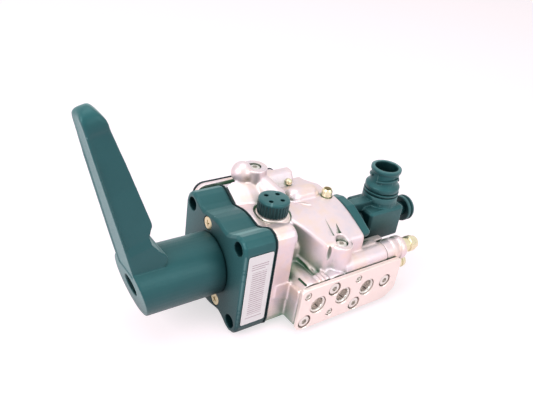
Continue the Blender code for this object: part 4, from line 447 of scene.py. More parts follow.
def slab(outline, low, high, corner=0.0):
    """A plate from the (x, y) points of its outline, with its upright corners rounded."""
    form = bmesh.new()
    form.faces.new([form.verts.new((x, y, low)) for x, y in outline])
    if corner:
        bmesh.ops.bevel(
            form, geom=form.verts[:], offset=corner, offset_type="OFFSET", affect="VERTICES",
            segments=6, profile=0.5, material=-1,
        )
    grown = bmesh.ops.extrude_face_region(form, geom=form.faces[:])
    top = [item for item in grown["geom"] if isinstance(item, bmesh.types.BMVert)]
    bmesh.ops.translate(form, vec=(0, 0, high - low), verts=top)
    bmesh.ops.recalc_face_normals(form, faces=form.faces)
    return form


def block(low, high):
    """A plain block between two corners, as a tool for cutting."""
    size = Vector(high) - Vector(low)
    middle = Matrix.Translation((Vector(high) + Vector(low)) / 2)
    form = bmesh.new()
    bmesh.ops.create_cube(form, size=1.0, matrix=middle @ Matrix.Diagonal((*size, 1.0)))
    return form


def hull(points):
    """The convex shape round points."""
    form = bmesh.new()
    for point in points:
        form.verts.new(point)
    bmesh.ops.convex_hull(form, input=form.verts)
    return form


def ease(form, width, segments=2):
    """Rounds the edges that turn by more than 40 degrees."""
    sharp = [
        edge
        for edge in form.edges
        if len(edge.link_faces) == 2 and edge.calc_face_angle(0.0) > math.radians(40)
    ]
    bmesh.ops.bevel(
        form, geom=sharp, offset=width, offset_type="OFFSET", affect="EDGES", segments=segments,
        profile=0.5, material=-1, clamp_overlap=True,
    )
    return form


def move(form, x, y):
    """Moves a shape in X and Y."""
    bmesh.ops.translate(form, vec=(x, y, 0), verts=form.verts)
    return form


def swivel(form, angle):
    """Turns a shape about Z."""
    bmesh.ops.rotate(form, verts=form.verts, matrix=Matrix.Rotation(angle, 3, "Z"))
    return form


def poured(form, name="passing"):
    """A shape as a mesh, after which the shape goes."""
    mesh = bpy.data.meshes.new(name)
    form.to_mesh(mesh)
    form.free()
    return mesh


def placed(name, data):
    """A mesh, a lamp or a camera as an object in the scene."""
    piece = bpy.data.objects.new(name, data)
    bpy.context.scene.collection.objects.link(piece)
    return piece


def settle(piece, *others):
    """The shape that a passing object's modifiers give, after which the objects go."""
    bpy.context.view_layer.update()
    graph = bpy.context.evaluated_depsgraph_get()
    mesh = bpy.data.meshes.new_from_object(piece.evaluated_get(graph))
    form = bmesh.new()
    form.from_mesh(mesh)
    bpy.data.meshes.remove(mesh)
    for old in (piece, *others):
        bpy.data.meshes.remove(old.data)
    return form


def combine(form, tools, operation="DIFFERENCE"):
    """Cuts tools out of a shape, or fuses them with it."""
    piece, *held = [placed("passing", poured(item)) for item in (form, *tools)]
    for tool in held:
        change = piece.modifiers.new("combine", "BOOLEAN")
        change.operation = operation
        change.solver = "EXACT"
        change.object = tool
    return settle(piece, *held)


def trim(form, tools, operation="DIFFERENCE"):
    """Combines a shape that is in metres with tools in millimetres."""
    form.transform(TO_MM)
    form = combine(form, tools, operation)
    form.transform(TO_METRES)
    return form


def drill(x, y, radius, low, high, flare=0.0, steps=48):
    """A round cutter along Z with a chamfer at its upper mouth."""
    wide = radius + flare
    profile = [
        (0, low), (radius, low), (radius, high - flare), (wide, high), (wide, high + 1),
        (0, high + 1),
    ]
    return move(spun(profile, steps), x, y)


def put(form, at, along):
    """Turns a shape from Z to its own axis, and takes it to its place in metres."""
    turn = Vector(along).to_track_quat("Z", "Y").to_matrix().to_4x4()
    form.transform(Matrix.Translation(Vector(at) * MM) @ turn @ TO_METRES)
    return form


def stand(form):
    """Takes a plate drawn in X and Y to X and Z in metres, with its upper side towards -Y."""
    form.transform(TO_METRES @ Matrix.Rotation(math.pi / 2, 4, "X"))
    return form


def cad_shape(node):
    """A merged copy of a CAD node's mesh, in metres."""
    form = bmesh.new()
    form.from_mesh(frame["nodes"][node].data)
    bmesh.ops.remove_doubles(form, verts=form.verts, dist=0.002 * MM)
    return form


def fuse(form, others):
    """Adds shapes to another, to be fused when it is rebuilt or used as one tool."""
    for other in others:
        mesh = poured(other)
        form.from_mesh(mesh)
        bpy.data.meshes.remove(mesh)
    return form


def rebuilt(form, grid, rounds, share):
    """Rebuilds a shape on an even fine grid and eases it, which rounds edges as a mould does,
    and keeps a share of its faces."""
    piece = placed("passing", poured(form))
    even = piece.modifiers.new("even_grid", "REMESH")
    even.mode = "VOXEL"
    even.voxel_size = grid
    soft = piece.modifiers.new("eased_edges", "SMOOTH")
    soft.factor = 0.5
    soft.iterations = rounds
    fewer = piece.modifiers.new("fewer_faces", "DECIMATE")
    fewer.ratio = share
    return settle(piece)


def stretch(form, plane, reach):
    """Pushes the face on a plane across X outwards, so that its rim can be cut sharp later."""
    flat = [vert for vert in form.verts if abs(vert.co.x / MM - plane) < 0.005]
    bmesh.ops.translate(form, vec=(reach * MM, 0, 0), verts=flat)
    return form


def show(form, name, kind, *nodes, body="valve", slot=None, angle=35.0):
    """Makes a finished shape a piece with a finish, on a body, in place of CAD nodes."""
    mesh = poured(form, name)
    mesh.shade_smooth()
    mesh.set_sharp_from_angle(angle=math.radians(angle))
    mesh.materials.append(finish(kind))
    piece = placed(name, mesh)
    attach(piece, body)
    if nodes:
        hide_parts(*nodes)


def socket_screw(radius, head, shank, reach, flat):
    """A cap screw whose face is at height 0, with a rounded rim and a hexagon socket."""
    end = -head - reach
    profile = [
        (0, 0), (radius * 0.8, 0), (radius * 0.93, -radius * 0.05), (radius, -radius * 0.17),
        (radius, -head), (shank, -head), (shank, end + 0.5), (shank - 0.5, end), (0, end),
    ]
    return combine(spun(profile, 48), [hexagon(flat, -head * 0.65, 1)])


def cross_screw(radius, head, shank, reach):
    """A flat-headed screw with a tapered cross recess."""
    end = -head - reach
    profile = [
        (0, 0), (radius * 0.78, 0), (radius * 0.94, -0.18), (radius, -0.55),
        (radius, -head), (shank, -head), (shank, end + 1), (0, end),
    ]
    tools = []
    for long, wide in ((2.5, 0.55), (0.55, 2.5)):
        tool = block((-long, -wide, -1.3), (long, wide, 0.6))
        deep = [vert for vert in tool.verts if vert.co.z < -1]
        bmesh.ops.scale(tool, vec=(0.55, 0.55, 1.0), verts=deep)
        tools.append(tool)
    return combine(spun(profile, 56), tools)


# Operators, one for each piece or group of like pieces


class VALVE_OT_lever(Operator):
    """Rounds the moulded lever and sets its screw in the hub"""

    bl_idname = "valve.lever"
    bl_label = "Lever"

    def execute(self, context):
        sizes = context.scene.valve_sizes
        form = rebuilt(cad_shape("lever"), sizes.moulded_grid, sizes.moulded_rounds * 2, 0.7)
        # Each pass starts a little higher, so that the side pockets fade out towards the tip
        for i in range(44):
            tip = [vert for vert in form.verts if vert.co.z > (84 + i * 0.4) * MM]
            bmesh.ops.smooth_vert(
                form, verts=tip, factor=0.5, use_axis_x=True, use_axis_y=True, use_axis_z=True
            )
        show(form, "moulded_lever", "black_nylon", "lever", body="lever_assembly")
        front = span("lever_screw")[0].x
        screw = put(socket_screw(5.0, 4.8, 2.9, 18.0, 2.5), (front, 0, 0), (-1, 0, 0))
        show(screw, "hub_screw", "steel", "lever_screw", body="lever_assembly")
        return {"FINISHED"}


class VALVE_OT_housing(Operator):
    """Rounds the moulded front housing and fits its two cross-recess screws"""

    bl_idname = "valve.housing"
    bl_label = "Front housing"

    def execute(self, context):
        sizes = context.scene.valve_sizes
        back = span("front_housing")[1].x
        form = stretch(cad_shape("front_housing"), back, 2.5)
        form = rebuilt(form, sizes.moulded_grid, sizes.moulded_rounds, 0.6)
        form = trim(form, [block((back, -50, -50), (back + 5, 50, 50))])
        show(form, "moulded_housing", "black_nylon", "front_housing")
        for name, degrees in (("upper", 20), ("lower", -12)):
            node = "housing_screw_" + name
            low, _, middle = span(node)
            form = swivel(cross_screw(4.3, 1.6, 2.0, 30.0), math.radians(degrees))
            put(form, (low.x, middle.y, middle.z), (-1, 0, 0))
            show(form, "cross_screw_" + name, "yellow_zinc", node, slot="brass")
        return {"FINISHED"}


class VALVE_OT_casting(Operator):
    """Gives the cast body its soft fillets, its round bosses and ridges and its cast marks"""

    bl_idname = "valve.casting"
    bl_label = "Cast body"

    def execute(self, context):
        sizes = context.scene.valve_sizes
        front = span("valve_body")[0].x
        form = fuse(stretch(cad_shape("valve_body"), front, -2.5), self.rounds())
        form = rebuilt(form, sizes.cast_grid, sizes.cast_rounds, 0.55)
        face = block((front - 5, -60, -60), (front, 60, 60))
        tools = [fuse(bmesh.new(), self.drillings()), fuse(bmesh.new(), self.marks())]
        form = trim(form, [face, *tools])
        # Round faces that a mill has passed: both bosses and the silencer's seat
        milled = form.verts.layers.float.new("milled")
        faces = ((NEAR_BOSS, 17.3, 7.8), (FAR_BOSS, 46.6, 8.0), (SILENCER, 26.4, 12.6))
        for vert in form.verts:
            spot = vert.co / MM
            for middle, height, radius in faces:
                if abs(spot.z - height) < 0.35 and math.dist(spot.xy, middle) < radius:
                    vert[milled] = 1.0
        show(form, "cast_body", "cast_aluminium", "valve_body", angle=50.0)
        return {"FINISHED"}

    def rounds(self):
        """Full rounds for the port ridges, the bosses, the barrel and the roof."""
        grown = [put(rod(9.6, 20, 45.9, 96), (x - 4.3, 0, -9.0), (0, -1, 0)) for x in PORTS]
        grown.append(put(rod(7.85, 0, 20.4), (*NEAR_BOSS, -3.1), (0, 0, 1)))
        grown.append(put(rod(7.85, 0, 36), (73.5, *BARREL), (1, 0, 0)))
        grown.append(put(rod(8.55, 0, 19), (*FAR_BOSS, 27.5), (0, 0, 1)))
        dome = bmesh.new()
        bmesh.ops.create_uvsphere(dome, u_segments=64, v_segments=32, radius=7.6)
        grown.append(put(dome, (35.7, 27.3, 42.3), (0, 0, 1)))
        # Three short ribs behind the plate, and the bead along the foot of the roof's wall
        for x, start in ((52.6, 37.6), (55.8, 36.6), (59.0, 35.6)):
            rib = [(0, 0), (1.1, 0.5), (1.35, 1.5), (1.35, 45.6 - start), (0, 45.6 - start)]
            grown.append(put(spun(rib, 24), (x, -start, -1.2), (0, -1, 0)))
        grown.append(put(rod(0.9, 0, 16, 24), (50.8, -21.4, 4.0), (6.5, -12.4, -6.8)))
        # The faceted shoulder under the far boss
        shoulder = (
            (21, 13, 29.2), (21, 20, 31.8), (21, 25, 35.5), (27, 25, 38.6), (34, 22, 40),
            (43, 22, 40), (40, 12, 33), (43, 7, 28), (34, 7, 29.4), (21, 13, 24), (21, 25, 24),
            (43, 24, 24), (43, 7, 24), (34, 7, 24),
        )
        grown.append(hull([Vector(corner) * MM for corner in shoulder]))
        # The round over the cross drilling, which rises to the boss
        lobe = spun([(0, 0), (5.6, 0), (6.7, 0.7), (7.2, 2.0), (7.2, 20), (0, 20)], 64)
        grown.append(put(lobe, (49.3, 3.0, 31.2), (-0.13, 0.97, 0.20)))
        return grown

    def drillings(self):
        """Tools that open the bores again where a full round has filled them."""
        near = (0, -1, 0)
        bores = []
        for i, x in enumerate(PORTS):
            bores.append(((x, -27.9, PORT_HEIGHT), near, 8.6, 20, 72))
            middle = span(f"plate_dowel_{i + 1}")[2]
            bores.append(((middle.x, -38.4, middle.z), near, 2.7, 9, 36))
        for i in range(4):
            middle = span(f"plate_screw_{i + 1}")[2]
            bores.append(((middle.x, -33.9, middle.z), near, 2.3, 14, 36))
        bores.append(((87, *BARREL), (1, 0, 0), 5.0, 24, 56))
        bores.append(((*NEAR_BOSS, 13.4), (0, 0, 1), 4.35, 12, 56))
        bores.append(((*FAR_BOSS, 42.7), (0, 0, 1), 4.35, 12, 56))
        tools = [put(rod(wide, 0, reach, n), at, along) for at, along, wide, reach, n in bores]
        for tool in tools:
            tool.transform(TO_MM)
        return tools

    def marks(self):
        """Tools for the ridge's slot, the roof's pockets, the groove and the thumbnail mark."""
        slot = ease(block((-4.3, -0.75, -1.6), (4.3, 0.75, 3.0)), 0.6)
        up = Vector((-0.38, 0, 0.92)).normalized()
        side = up.cross(Vector((0, -1, 0))).normalized()
        turn = Matrix((side.cross(up), side, up)).transposed().to_4x4()
        slot.transform(Matrix.Translation((41.6, -41.0, -0.8)) @ turn)
        tools = [slot]
        # Pockets sunk in the sloping roof, each from its apex to the deeper end below it
        roof_normal = Vector((0, -0.41, 0.91))
        for apex, foot, deep in (
            ((70.9, -17.4, 27.4), ((65.9, -31.2, 21.2), (69.7, -32.3, 20.7)), 1.0),
            ((76.3, -24.9, 24.0), ((72.0, -31.2, 21.2), (75.9, -32.1, 20.8)), 2.4),
        ):
            corners = []
            for at in (apex, *foot):
                for rise in (0.0, 3.0):
                    sink = deep if rise == 0 and at != apex else 0.0
                    corners.append(Vector(at) + roof_normal * (rise - sink))
            tools.append(hull(corners))
        # The groove beside the near boss, and the thumbnail mark on the roof
        for place, degrees, radii in (
            ((62.4, -38.6, 13.0), 0, (1.7, 3.2, 5.8)),
            ((65.9, -4.6, 29.5), -43, (4.8, 1.6, 1.1)),
        ):
            turn = Matrix.Rotation(math.radians(degrees), 4, "Z")
            shape = Matrix.Translation(place) @ turn @ Matrix.Diagonal((*radii, 1.0))
            tool = bmesh.new()
            bmesh.ops.create_uvsphere(tool, u_segments=32, v_segments=16, radius=1.0, matrix=shape)
            tools.append(tool)
        return tools


class VALVE_OT_boss_screws(Operator):
    """Fits the two screws that are sunk in the cast bosses"""

    bl_idname = "valve.boss_screws"
    bl_label = "Boss screws"

    def execute(self, context):
        for name in ("near", "far"):
            node = name + "_boss_screw"
            _, high, middle = span(node)
            screw = socket_screw(3.6, 3.0, 1.9, 7.0, 1.8)
            put(screw, (middle.x, middle.y, high.z), (0, 0, 1))
            show(screw, name + "_sunk_screw", "zinc_plated_steel", node)
        return {"FINISHED"}


class VALVE_OT_roof_plug(Operator):
    """Adds the small brass plug in the pocket of the far rib"""

    bl_idname = "valve.roof_plug"
    bl_label = "Roof plug"

    def execute(self, context):
        plug = ease(hexagon(2.7, -1.5, 1.5), 0.35)
        dome = spun([(0, 2.6), (1.2, 2.5), (1.7, 2.1), (1.8, 1.2), (0, 1.2)], 40)
        form = put(combine(plug, [dome], "UNION"), (73.7, 25.1, 28.6), (0, -0.87, 0.49))
        show(form, "roof_plug", "brass")
        return {"FINISHED"}


class VALVE_OT_silencer(Operator):
    """Turns the silencer's seat and its knurled cap with four vents"""

    bl_idname = "valve.silencer"
    bl_label = "Silencer"

    def execute(self, context):
        low, high, middle = span("silencer_cap")
        deep = low.z - high.z
        profile = [
            (0, 0), (8.6, 0), (9.3, -0.15), (9.8, -0.5), (10.05, -1.1), (10.1, -1.9),
            (10.1, -2.6), (10.1, deep + 1.0), (9.95, deep + 0.4), (9.6, deep), (8.1, deep),
            (8.1, -2.0), (0, -2.0),
        ]
        knurls = context.scene.valve_sizes.knurls
        form = spun(profile, knurls * 6)
        for vert in form.verts:
            share = math.atan2(vert.co.y, vert.co.x) / math.tau * knurls % 1
            if vert.co.xy.length > 9.5 and vert.co.z < -2.2 and 0.2 < share < 0.75:
                vert.co.xy *= 0.955
        vents = []
        for i in range(4):
            angle = math.radians(34 + 90 * i)
            x, y = 5.5 * math.cos(angle), 5.5 * math.sin(angle)
            vents.append(drill(x, y, 1.45, -2.6, 0, 0.25, 32))
        form = put(combine(form, vents), (middle.x, middle.y, high.z), (0, 0, 1))
        show(form, "knurled_cap", "black_nylon", "silencer_cap")

        low, high, _ = span("silencer_seat")
        profile = [
            (4.6, high.z), (4.6, 30.1), (10.0, 30.1), (10.6, 29.8), (10.9, 29.2), (11.0, 28.3),
            (11.7, 27.8), (11.7, 26.7), (4.6, 26.7), (4.6, low.z), (3.0, low.z), (3.0, high.z),
        ]
        form = put(spun(profile, 96), (*SILENCER, 0), (0, 0, 1))
        show(form, "turned_seat", "machined_aluminium", "silencer_seat")
        return {"FINISHED"}


class VALVE_OT_port_plate(Operator):
    """Mills the port plate, with its ports, screw sinks and dowel holes"""

    bl_idname = "valve.port_plate"
    bl_label = "Port plate"

    def execute(self, context):
        outline = [(120, -0.01), (35.5, -0.01), (35.5, -31.4), (111, -31.4), (120, -25.1)]
        form = ease(slab(outline, 46.76, 50, 3.0), 0.55, 3)
        tools = [drill(x, PORT_HEIGHT, 6.3, 46, 50, 0.5, 72) for x in PORTS]
        for total, stem, radius, flare, steps in (
            (4, "plate_screw_", 4.9, 0.35, 48),
            (3, "plate_dowel_", 2.7, 0.3, 36),
        ):
            for i in range(total):
                middle = span(f"{stem}{i + 1}")[2]
                tools.append(drill(middle.x, middle.z, radius, 46, 50, flare, steps))
        form = stand(combine(form, tools))
        show(form, "milled_port_plate", "machined_aluminium", "port_plate")
        return {"FINISHED"}


class VALVE_OT_plate_fasteners(Operator):
    """Fits the port plate's four socket screws and three hollow dowels"""

    bl_idname = "valve.plate_fasteners"
    bl_label = "Plate fasteners"

    def execute(self, context):
        for i in range(4):
            node = f"plate_screw_{i + 1}"
            low, _, middle = span(node)
            form = swivel(socket_screw(4.1, 3.3, 2.0, 11.0, 2.0), 0.4 * i)
            put(form, (middle.x, low.y - 0.9, middle.z), (0, -1, 0))
            show(form, f"plate_cap_screw_{i + 1}", "zinc_plated_steel", node)
        for i in range(3):
            node = f"plate_dowel_{i + 1}"
            low, high, middle = span(node)
            deep = low.y - high.y
            profile = [
                (0, -5.0), (1.2, -5.0), (1.35, -0.4), (1.6, 0), (2.0, 0), (2.3, -0.15),
                (2.4, -0.5), (2.4, deep + 0.4), (2.0, deep), (0, deep),
            ]
            form = put(spun(profile, 40), (middle.x, low.y, middle.z), (0, -1, 0))
            show(form, f"hollow_dowel_{i + 1}", "zinc_plated_steel", node)
        return {"FINISHED"}


class VALVE_OT_ports(Operator):
    """Turns the sleeves, the release collets and the tube stops of the three push-in ports"""

    bl_idname = "valve.ports"
    bl_label = "Push-in ports"

    def execute(self, context):
        collet_ring = [
            (4.4, -9.0), (6.0, -9.0), (6.0, -0.5), (5.85, -0.15), (5.5, 0), (5.25, 0),
            (4.9, -0.2), (4.6, -0.7), (4.4, -1.3),
        ]
        stop_ring = [
            (1.9, -1.6), (1.9, -0.2), (2.1, 0), (3.0, 0), (3.2, -0.5), (3.6, -0.5), (3.8, 0),
            (4.1, 0), (4.1, -1.6),
        ]
        for i in range(3):
            sleeve, collet = f"port_sleeve_{i + 1}", f"release_collet_{i + 1}"
            low, high, middle = span(sleeve)
            mouth, inner, _ = span(collet)
            deep = low.y - high.y
            step = low.y - inner.y - 1.1
            sleeve_ring = [
                (4.4, deep), (8.3, deep), (8.3, -0.3), (8.0, 0), (6.3, 0), (6.3, step), (4.4, step),
            ]
            form = put(spun(sleeve_ring), (middle.x, low.y, middle.z), (0, -1, 0))
            show(form, f"turned_sleeve_{i + 1}", "zinc_plated_steel", sleeve)
            slit = ((-0.35, 4.0, -9.5), (0.35, 7.0, -1.6))
            slits = [swivel(block(*slit), math.pi / 2 * k + 0.5) for k in range(4)]
            form = combine(spun(collet_ring), slits)
            put(form, (middle.x, mouth.y, middle.z), (0, -1, 0))
            show(form, f"split_collet_{i + 1}", "zinc_plated_steel", collet, body=f"collet_{i + 1}")
            form = put(spun(stop_ring, 56), (middle.x, -44.6, middle.z), (0, -1, 0))
            show(form, f"tube_stop_{i + 1}", "machined_aluminium")
        return {"FINISHED"}


class VALVE_OT_pilot(Operator):
    """Turns the cap at the end of the pilot barrel"""

    bl_idname = "valve.pilot"
    bl_label = "Pilot cap"

    def execute(self, context):
        low, high, middle = span("pilot_cap")
        deep = low.x - high.x
        profile = [
            (3.7, 0), (6.9, 0), (7.9, -0.4), (8.3, -1.3), (8.3, -4.3), (7.9, -4.9), (7.4, -5.3),
            (7.4, -7.0), (7.9, -7.4), (8.3, -8.0), (8.3, -10.8), (7.8, -11.5), (7.4, -11.9),
            (7.4, deep + 0.3), (7.1, deep), (3.7, deep),
        ]
        form = put(spun(profile, 96), (high.x, middle.y, middle.z), (1, 0, 0))
        show(form, "turned_pilot_cap", "cast_aluminium", "pilot_cap")
        return {"FINISHED"}


class VALVE_OT_fittings(Operator):
    """Turns the three brass fittings"""

    bl_idname = "valve.fittings"
    bl_label = "Brass fittings"

    def execute(self, context):
        thread = 5.0
        low, _, middle = span("test_point")
        profile = [
            (2.4, 14.5), (4.1, 14.5), (4.5, 14.1), (4.5, 13.5), (5.3, 11.6), (5.6, 10.8),
            (5.6, 7.8), (5.2, 7.3), (4.5, 7.0), (4.5, 4.6), (5.2, 4.2), (5.6, 3.8), (5.6, 0.3),
            (5.3, 0), (3.4, 0), (3.4, -thread), (2.4, -thread),
        ]
        form = put(spun(profile), (low.x + thread, middle.y, middle.z), (1, 0, 0))
        show(form, "turned_test_point", "brass", "test_point")

        low, _, middle = span("side_fitting")
        bowl = [(0, 7.2), (5.9, 7.2), (7.4, 6.0), (7.4, 1.0), (5.9, -0.2), (0, -0.2)]
        form = combine(hexagon(6.6, 0, 7.0), [spun(bowl, 48)], "INTERSECT")
        form = combine(form, [rod(2.45, -1, 8, 48)])
        barb = [
            (2.4, 18.0), (3.9, 18.0), (4.3, 17.4), (4.6, 15.4), (4.6, 14.8), (4.2, 14.8),
            (4.6, 12.4), (4.6, 11.8), (4.2, 11.8), (4.6, 9.4), (4.6, 6.0), (3.4, 6.0),
            (3.4, -thread), (2.4, -thread),
        ]
        form = combine(form, [spun(barb)], "UNION")
        put(form, (low.x + thread, middle.y, middle.z), (1, 0, 0))
        show(form, "turned_side_fitting", "brass", "side_fitting")

        low, _, middle = span("top_fitting")
        profile = [
            (2.4, 5.0), (2.7, 5.0), (3.1, 4.4), (3.6, 3.5), (3.6, 0.2), (3.4, 0),
            (3.4, -thread), (2.4, -thread),
        ]
        form = put(spun(profile, 56), (middle.x, middle.y, low.z + thread), (0, 0, 1))
        show(form, "turned_top_fitting", "brass", "top_fitting")
        return {"FINISHED"}


class VALVE_OT_side_cover(Operator):
    """Makes the plate, seal and cover on the far side, with their screws"""

    bl_idname = "valve.side_cover"
    bl_label = "Side cover"

    def execute(self, context):
        for node, name, kind, rounding in (
            ("side_plate", "cast_side_plate", "cast_aluminium", 0.5),
            ("side_seal", "side_gasket", "black_rubber", 0.2),
            ("side_cover", "cast_side_cover", "cast_aluminium", 0.9),
        ):
            low, high, _ = span(node)
            outline = [(high.x, high.z), (low.x, high.z), (low.x, low.z), (high.x, low.z)]
            form = ease(slab(outline, -high.y, -low.y, 7.0), rounding, 3)
            tools = []
            for i in range(4):
                middle = span(f"side_screw_{i + 1}")[2]
                tools.append(drill(middle.x, middle.z, 2.2, -high.y - 1, -low.y + 1, 0, 32))
            show(stand(combine(form, tools)), name, kind, node)
        for i in range(4):
            node = f"side_screw_{i + 1}"
            _, high, middle = span(node)
            form = socket_screw(3.6, 2.6, 1.9, 8.8, 1.8)
            put(form, (middle.x, high.y, middle.z), (0, 1, 0))
            show(form, f"side_cap_screw_{i + 1}", "zinc_plated_steel", node)
        return {"FINISHED"}


class VALVE_OT_solenoid(Operator):
    """Rounds the solenoid's moulding and gives its plug socket its grooves and bayonet ramps"""

    bl_idname = "valve.solenoid"
    bl_label = "Solenoid"

    def execute(self, context):
        sizes = context.scene.valve_sizes
        case = trim(cad_shape("solenoid_coil"), [block((105, -30, 26.0), (150, 10, 60))])
        case = rebuilt(case, sizes.moulded_grid, sizes.moulded_rounds - 1, 0.7)
        socket_floor = move(rod(8.4, 27, 24, 120), *PLUG_SOCKET)
        shell = move(self.connector(), *PLUG_SOCKET)
        form = trim(case, [socket_floor, shell], "UNION")
        show(form, "moulded_solenoid", "black_nylon", "solenoid_coil", angle=40.0)

        low, high, middle = span("coil_nut")
        deep = low.x - high.x
        profile = [
            (3.3, 0), (7.0, 0), (7.9, -0.25), (9.0, -0.9), (9.4, -1.6), (9.4, -2.6), (8.5, -3.1),
            (8.2, -3.6), (8.5, -4.1), (9.4, -4.6), (9.4, -6.4), (8.9, -7.0), (5.2, -7.0),
            (5.2, deep), (3.3, deep),
        ]
        form = put(spun(profile, 96), (high.x, middle.y, middle.z), (1, 0, 0))
        show(form, "turned_coil_nut", "black_nylon", "coil_nut")
        return {"FINISHED"}

    def connector(self):
        """The plug socket: a lip, a neck with bayonet ramps, and a collar with two grooves."""
        profile = [
            (8.0, 47.6), (8.3, 48.0), (9.9, 48.0), (10.4, 47.7), (10.55, 47.2), (10.55, 45.8),
            (10.3, 45.3), (9.7, 44.9), (9.6, 44.4), (9.6, 37.3), (9.9, 36.8), (10.9, 35.9),
            (11.6, 35.3), (11.9, 34.7), (11.9, 32.2), (11.7, 31.9), (11.0, 31.8), (10.9, 31.2),
            (11.9, 31.0), (12.2, 30.7), (12.2, 29.8), (12.0, 29.5), (11.1, 29.4), (11.0, 28.8),
            (12.0, 28.6), (12.25, 28.3), (12.25, 24.4), (8.0, 24.4), (8.0, 30), (8.0, 36),
            (8.0, 41), (8.0, 44.5), (8.0, 46.6),
        ]
        ramp_section = (
            (9.0, 0, 38.2), (10.35, 0, 38.4), (10.5, 0, 38.7), (10.5, 0, 39.5),
            (10.35, 0, 39.8), (9.0, 0, 40.0),
        )
        ramps = []
        for i in range(3):
            ramp = bmesh.new()
            face = ramp.faces.new([ramp.verts.new(corner) for corner in ramp_section])
            bmesh.ops.spin(
                ramp, geom=[face, *face.edges, *face.verts], cent=(0, 0, 0), axis=(0, 0, 1),
                dvec=(0, 0, 0.13), angle=math.radians(92), steps=24, use_duplicate=False,
            )
            bmesh.ops.recalc_face_normals(ramp, faces=ramp.faces)
            ramps.append(swivel(ramp, math.radians(-165 + 120 * i)))
        return combine(spun(profile, 120), ramps, "UNION")


class VALVE_OT_contacts(Operator):
    """Turns the four contacts in the plug socket"""

    bl_idname = "valve.contacts"
    bl_label = "Contacts"

    def execute(self, context):
        for i in range(4):
            node = f"connector_contact_{i + 1}"
            low, high, middle = span(node)
            deep = low.z - high.z
            profile = [(0, 0), (0.3, -0.05), (0.6, -0.4), (0.8, -1.1), (0.8, deep), (0, deep)]
            form = put(spun(profile, 24), (middle.x, middle.y, high.z), (0, 0, 1))
            show(form, f"turned_contact_{i + 1}", "brass", node)
        return {"FINISHED"}


class VALVE_OT_carried(Operator):
    """Gives every CAD node that stays in view the finish of its own material slot"""

    bl_idname = "valve.carried"
    bl_label = "Carried-over pieces"

    def execute(self, context):
        for row in frame["record"]["subparts"]:
            node = frame["nodes"][row["node"]]
            if node.hide_render:
                continue
            if not node.material_slots:
                raise RuntimeError(f"{node.name} has no material slot")
            for slot in node.material_slots:
                slot.link = "OBJECT"
                slot.material = finish(row["material_slot"])
        return {"FINISHED"}


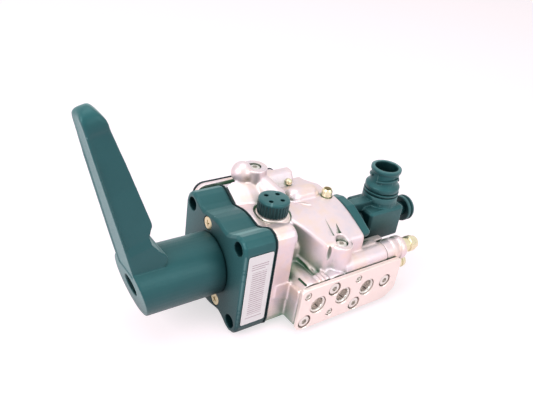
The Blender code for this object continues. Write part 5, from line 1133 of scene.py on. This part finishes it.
class VALVE_OT_stage(Operator):
    """Sets the pale floor, the soft lamps, the plain world and the camera"""

    bl_idname = "valve.stage"
    bl_label = "Stage"

    def execute(self, context):
        scene = context.scene
        stage = scene.valve_stage
        level = Matrix.Translation((0, 0, CAD_BOX[0][2]))
        form = bmesh.new()
        bmesh.ops.create_grid(form, x_segments=1, y_segments=1, size=4.0, matrix=level)
        floor = placed("floor", poured(form, "floor"))
        floor.data.materials.append(self.floor_paint(stage))
        self.light_world(scene, stage)
        self.lamp("key_lamp", (-1.05, -0.10, 0.55), 0.6, stage.key)
        self.lamp("fill_lamp", (0.45, -1.05, 0.65), 0.7, stage.fill)
        self.lamp("top_lamp", (0.0, 0.10, 1.10), 0.8, stage.top)
        self.camera(scene)
        scene.view_settings.view_transform = "Standard"
        return {"FINISHED"}

    def seen(self, tree):
        """1 where the camera, a reflection or a see-through piece looks, and 0 for lighting."""
        rays = add(tree, "LightPath").outputs
        shown = add(tree, *GREATER, (rays["Is Camera Ray"], rays["Is Glossy Ray"]))
        return add(tree, *GREATER, (shown, rays["Is Transmission Ray"]))

    def floor_paint(self, stage):
        """Matt paint, rolled: pale, and lifted to white where nothing shades it."""
        made, tree, shader, place = begin("matt_floor_paint")
        # Roller marks fade over a third of a metre
        dabs = add(tree, "TexNoise", inputs={"Vector": place, "Scale": 3.0, "Detail": 2.0})
        light = (*stage.floor, 1.0)
        dark = (*(value * 0.985 for value in stage.floor), 1.0)
        base = add(tree, *COLOUR_MIX, {SHARE: dabs, UNDER: dark, OVER: light})
        feed(tree, shader, {"Base Color": base, "Roughness": 0.9, "Specular IOR Level": 0.1})
        lift = add(tree, *TIMES, (self.seen(tree), 0.62))
        glow = add(tree, "Emission", inputs={"Color": (1.0, 1.0, 1.0, 1.0), "Strength": lift})
        both = add(tree, "AddShader", inputs=(shader, glow))
        end = next(node for node in tree.nodes if node.type == "OUTPUT_MATERIAL")
        feed(tree, end, {"Surface": both})
        return made

    def light_world(self, scene, stage):
        """A white world that lights the valve softly and is seen at full strength."""
        world = bpy.data.worlds.new("plain_world")
        world.use_nodes = True
        scene.world = world
        tree = world.node_tree
        tree.nodes.clear()
        strength = add(tree, "MapRange", inputs=(self.seen(tree), 0, 1, stage.daylight))
        sky = add(tree, "Background", inputs={"Color": (1.0, 1.0, 1.0, 1.0), "Strength": strength})
        add(tree, "OutputWorld", inputs={"Surface": sky})

    def lamp(self, name, place, size, watts):
        """Adds a soft square lamp turned towards the valve."""
        light = bpy.data.lights.new(name, "AREA")
        light.size = size
        light.energy = watts
        lamp = placed(name, light)
        lamp.location = place
        aim = Vector((0.04, 0.0, 0.02)) - Vector(place)
        lamp.rotation_euler = aim.to_track_quat("-Z", "Y").to_euler()

    def camera(self, scene):
        """The view of the photograph, solved from the housing's holes and the ports."""
        view = bpy.data.cameras.new("photo_view")
        focal_pixels, image_width = 631.2, 533
        view.sensor_width = 36.0
        view.lens = focal_pixels / image_width * view.sensor_width
        view.clip_start = 0.01
        right = Vector((0.8171, -0.5618, 0.1289))
        back = right.cross(Vector((0.1953, 0.4802, 0.8551))).normalized()
        turn = Matrix((right, back.cross(right), back)).transposed().to_4x4()
        eye = placed("photo_view", view)
        eye.matrix_world = Matrix.Translation((-0.1770, -0.2656, 0.2345)) @ turn
        scene.camera = eye


class VALVE_PT_panel(Panel):
    """Lists the valve's pieces, finishes and stage"""

    bl_idname = "VALVE_PT_panel"
    bl_label = "Leveling valve"
    bl_space_type = "VIEW_3D"
    bl_region_type = "UI"
    bl_category = "Valve"

    def draw(self, context):
        column = self.layout.column()
        for step in STEPS:
            column.operator(step.bl_idname)
        for key in GROUPS:
            group = getattr(context.scene, key)
            for name in group.bl_rna.properties.keys():
                if name not in ("rna_type", "name"):
                    column.prop(group, name)


STEPS = (
    VALVE_OT_lever, VALVE_OT_housing, VALVE_OT_casting, VALVE_OT_boss_screws, VALVE_OT_roof_plug,
    VALVE_OT_silencer, VALVE_OT_port_plate, VALVE_OT_plate_fasteners, VALVE_OT_ports,
    VALVE_OT_pilot, VALVE_OT_fittings, VALVE_OT_side_cover, VALVE_OT_solenoid, VALVE_OT_contacts,
    VALVE_OT_carried, VALVE_OT_stage,
)
GROUPS = {"valve_finishes": ValveFinishes, "valve_sizes": ValveSizes, "valve_stage": ValveStage}


def register():
    for name, group in GROUPS.items():
        bpy.utils.register_class(group)
        setattr(bpy.types.Scene, name, PointerProperty(type=group))
    for item in (*STEPS, VALVE_PT_panel):
        bpy.utils.register_class(item)


def unregister():
    for item in reversed((*STEPS, VALVE_PT_panel)):
        bpy.utils.unregister_class(item)
    for name, group in GROUPS.items():
        delattr(bpy.types.Scene, name)
        bpy.utils.unregister_class(group)


def main():
    register()
    for step in STEPS:
        getattr(bpy.ops.valve, step.bl_idname.split(".")[1])()


if __name__ == "__main__":
    main()
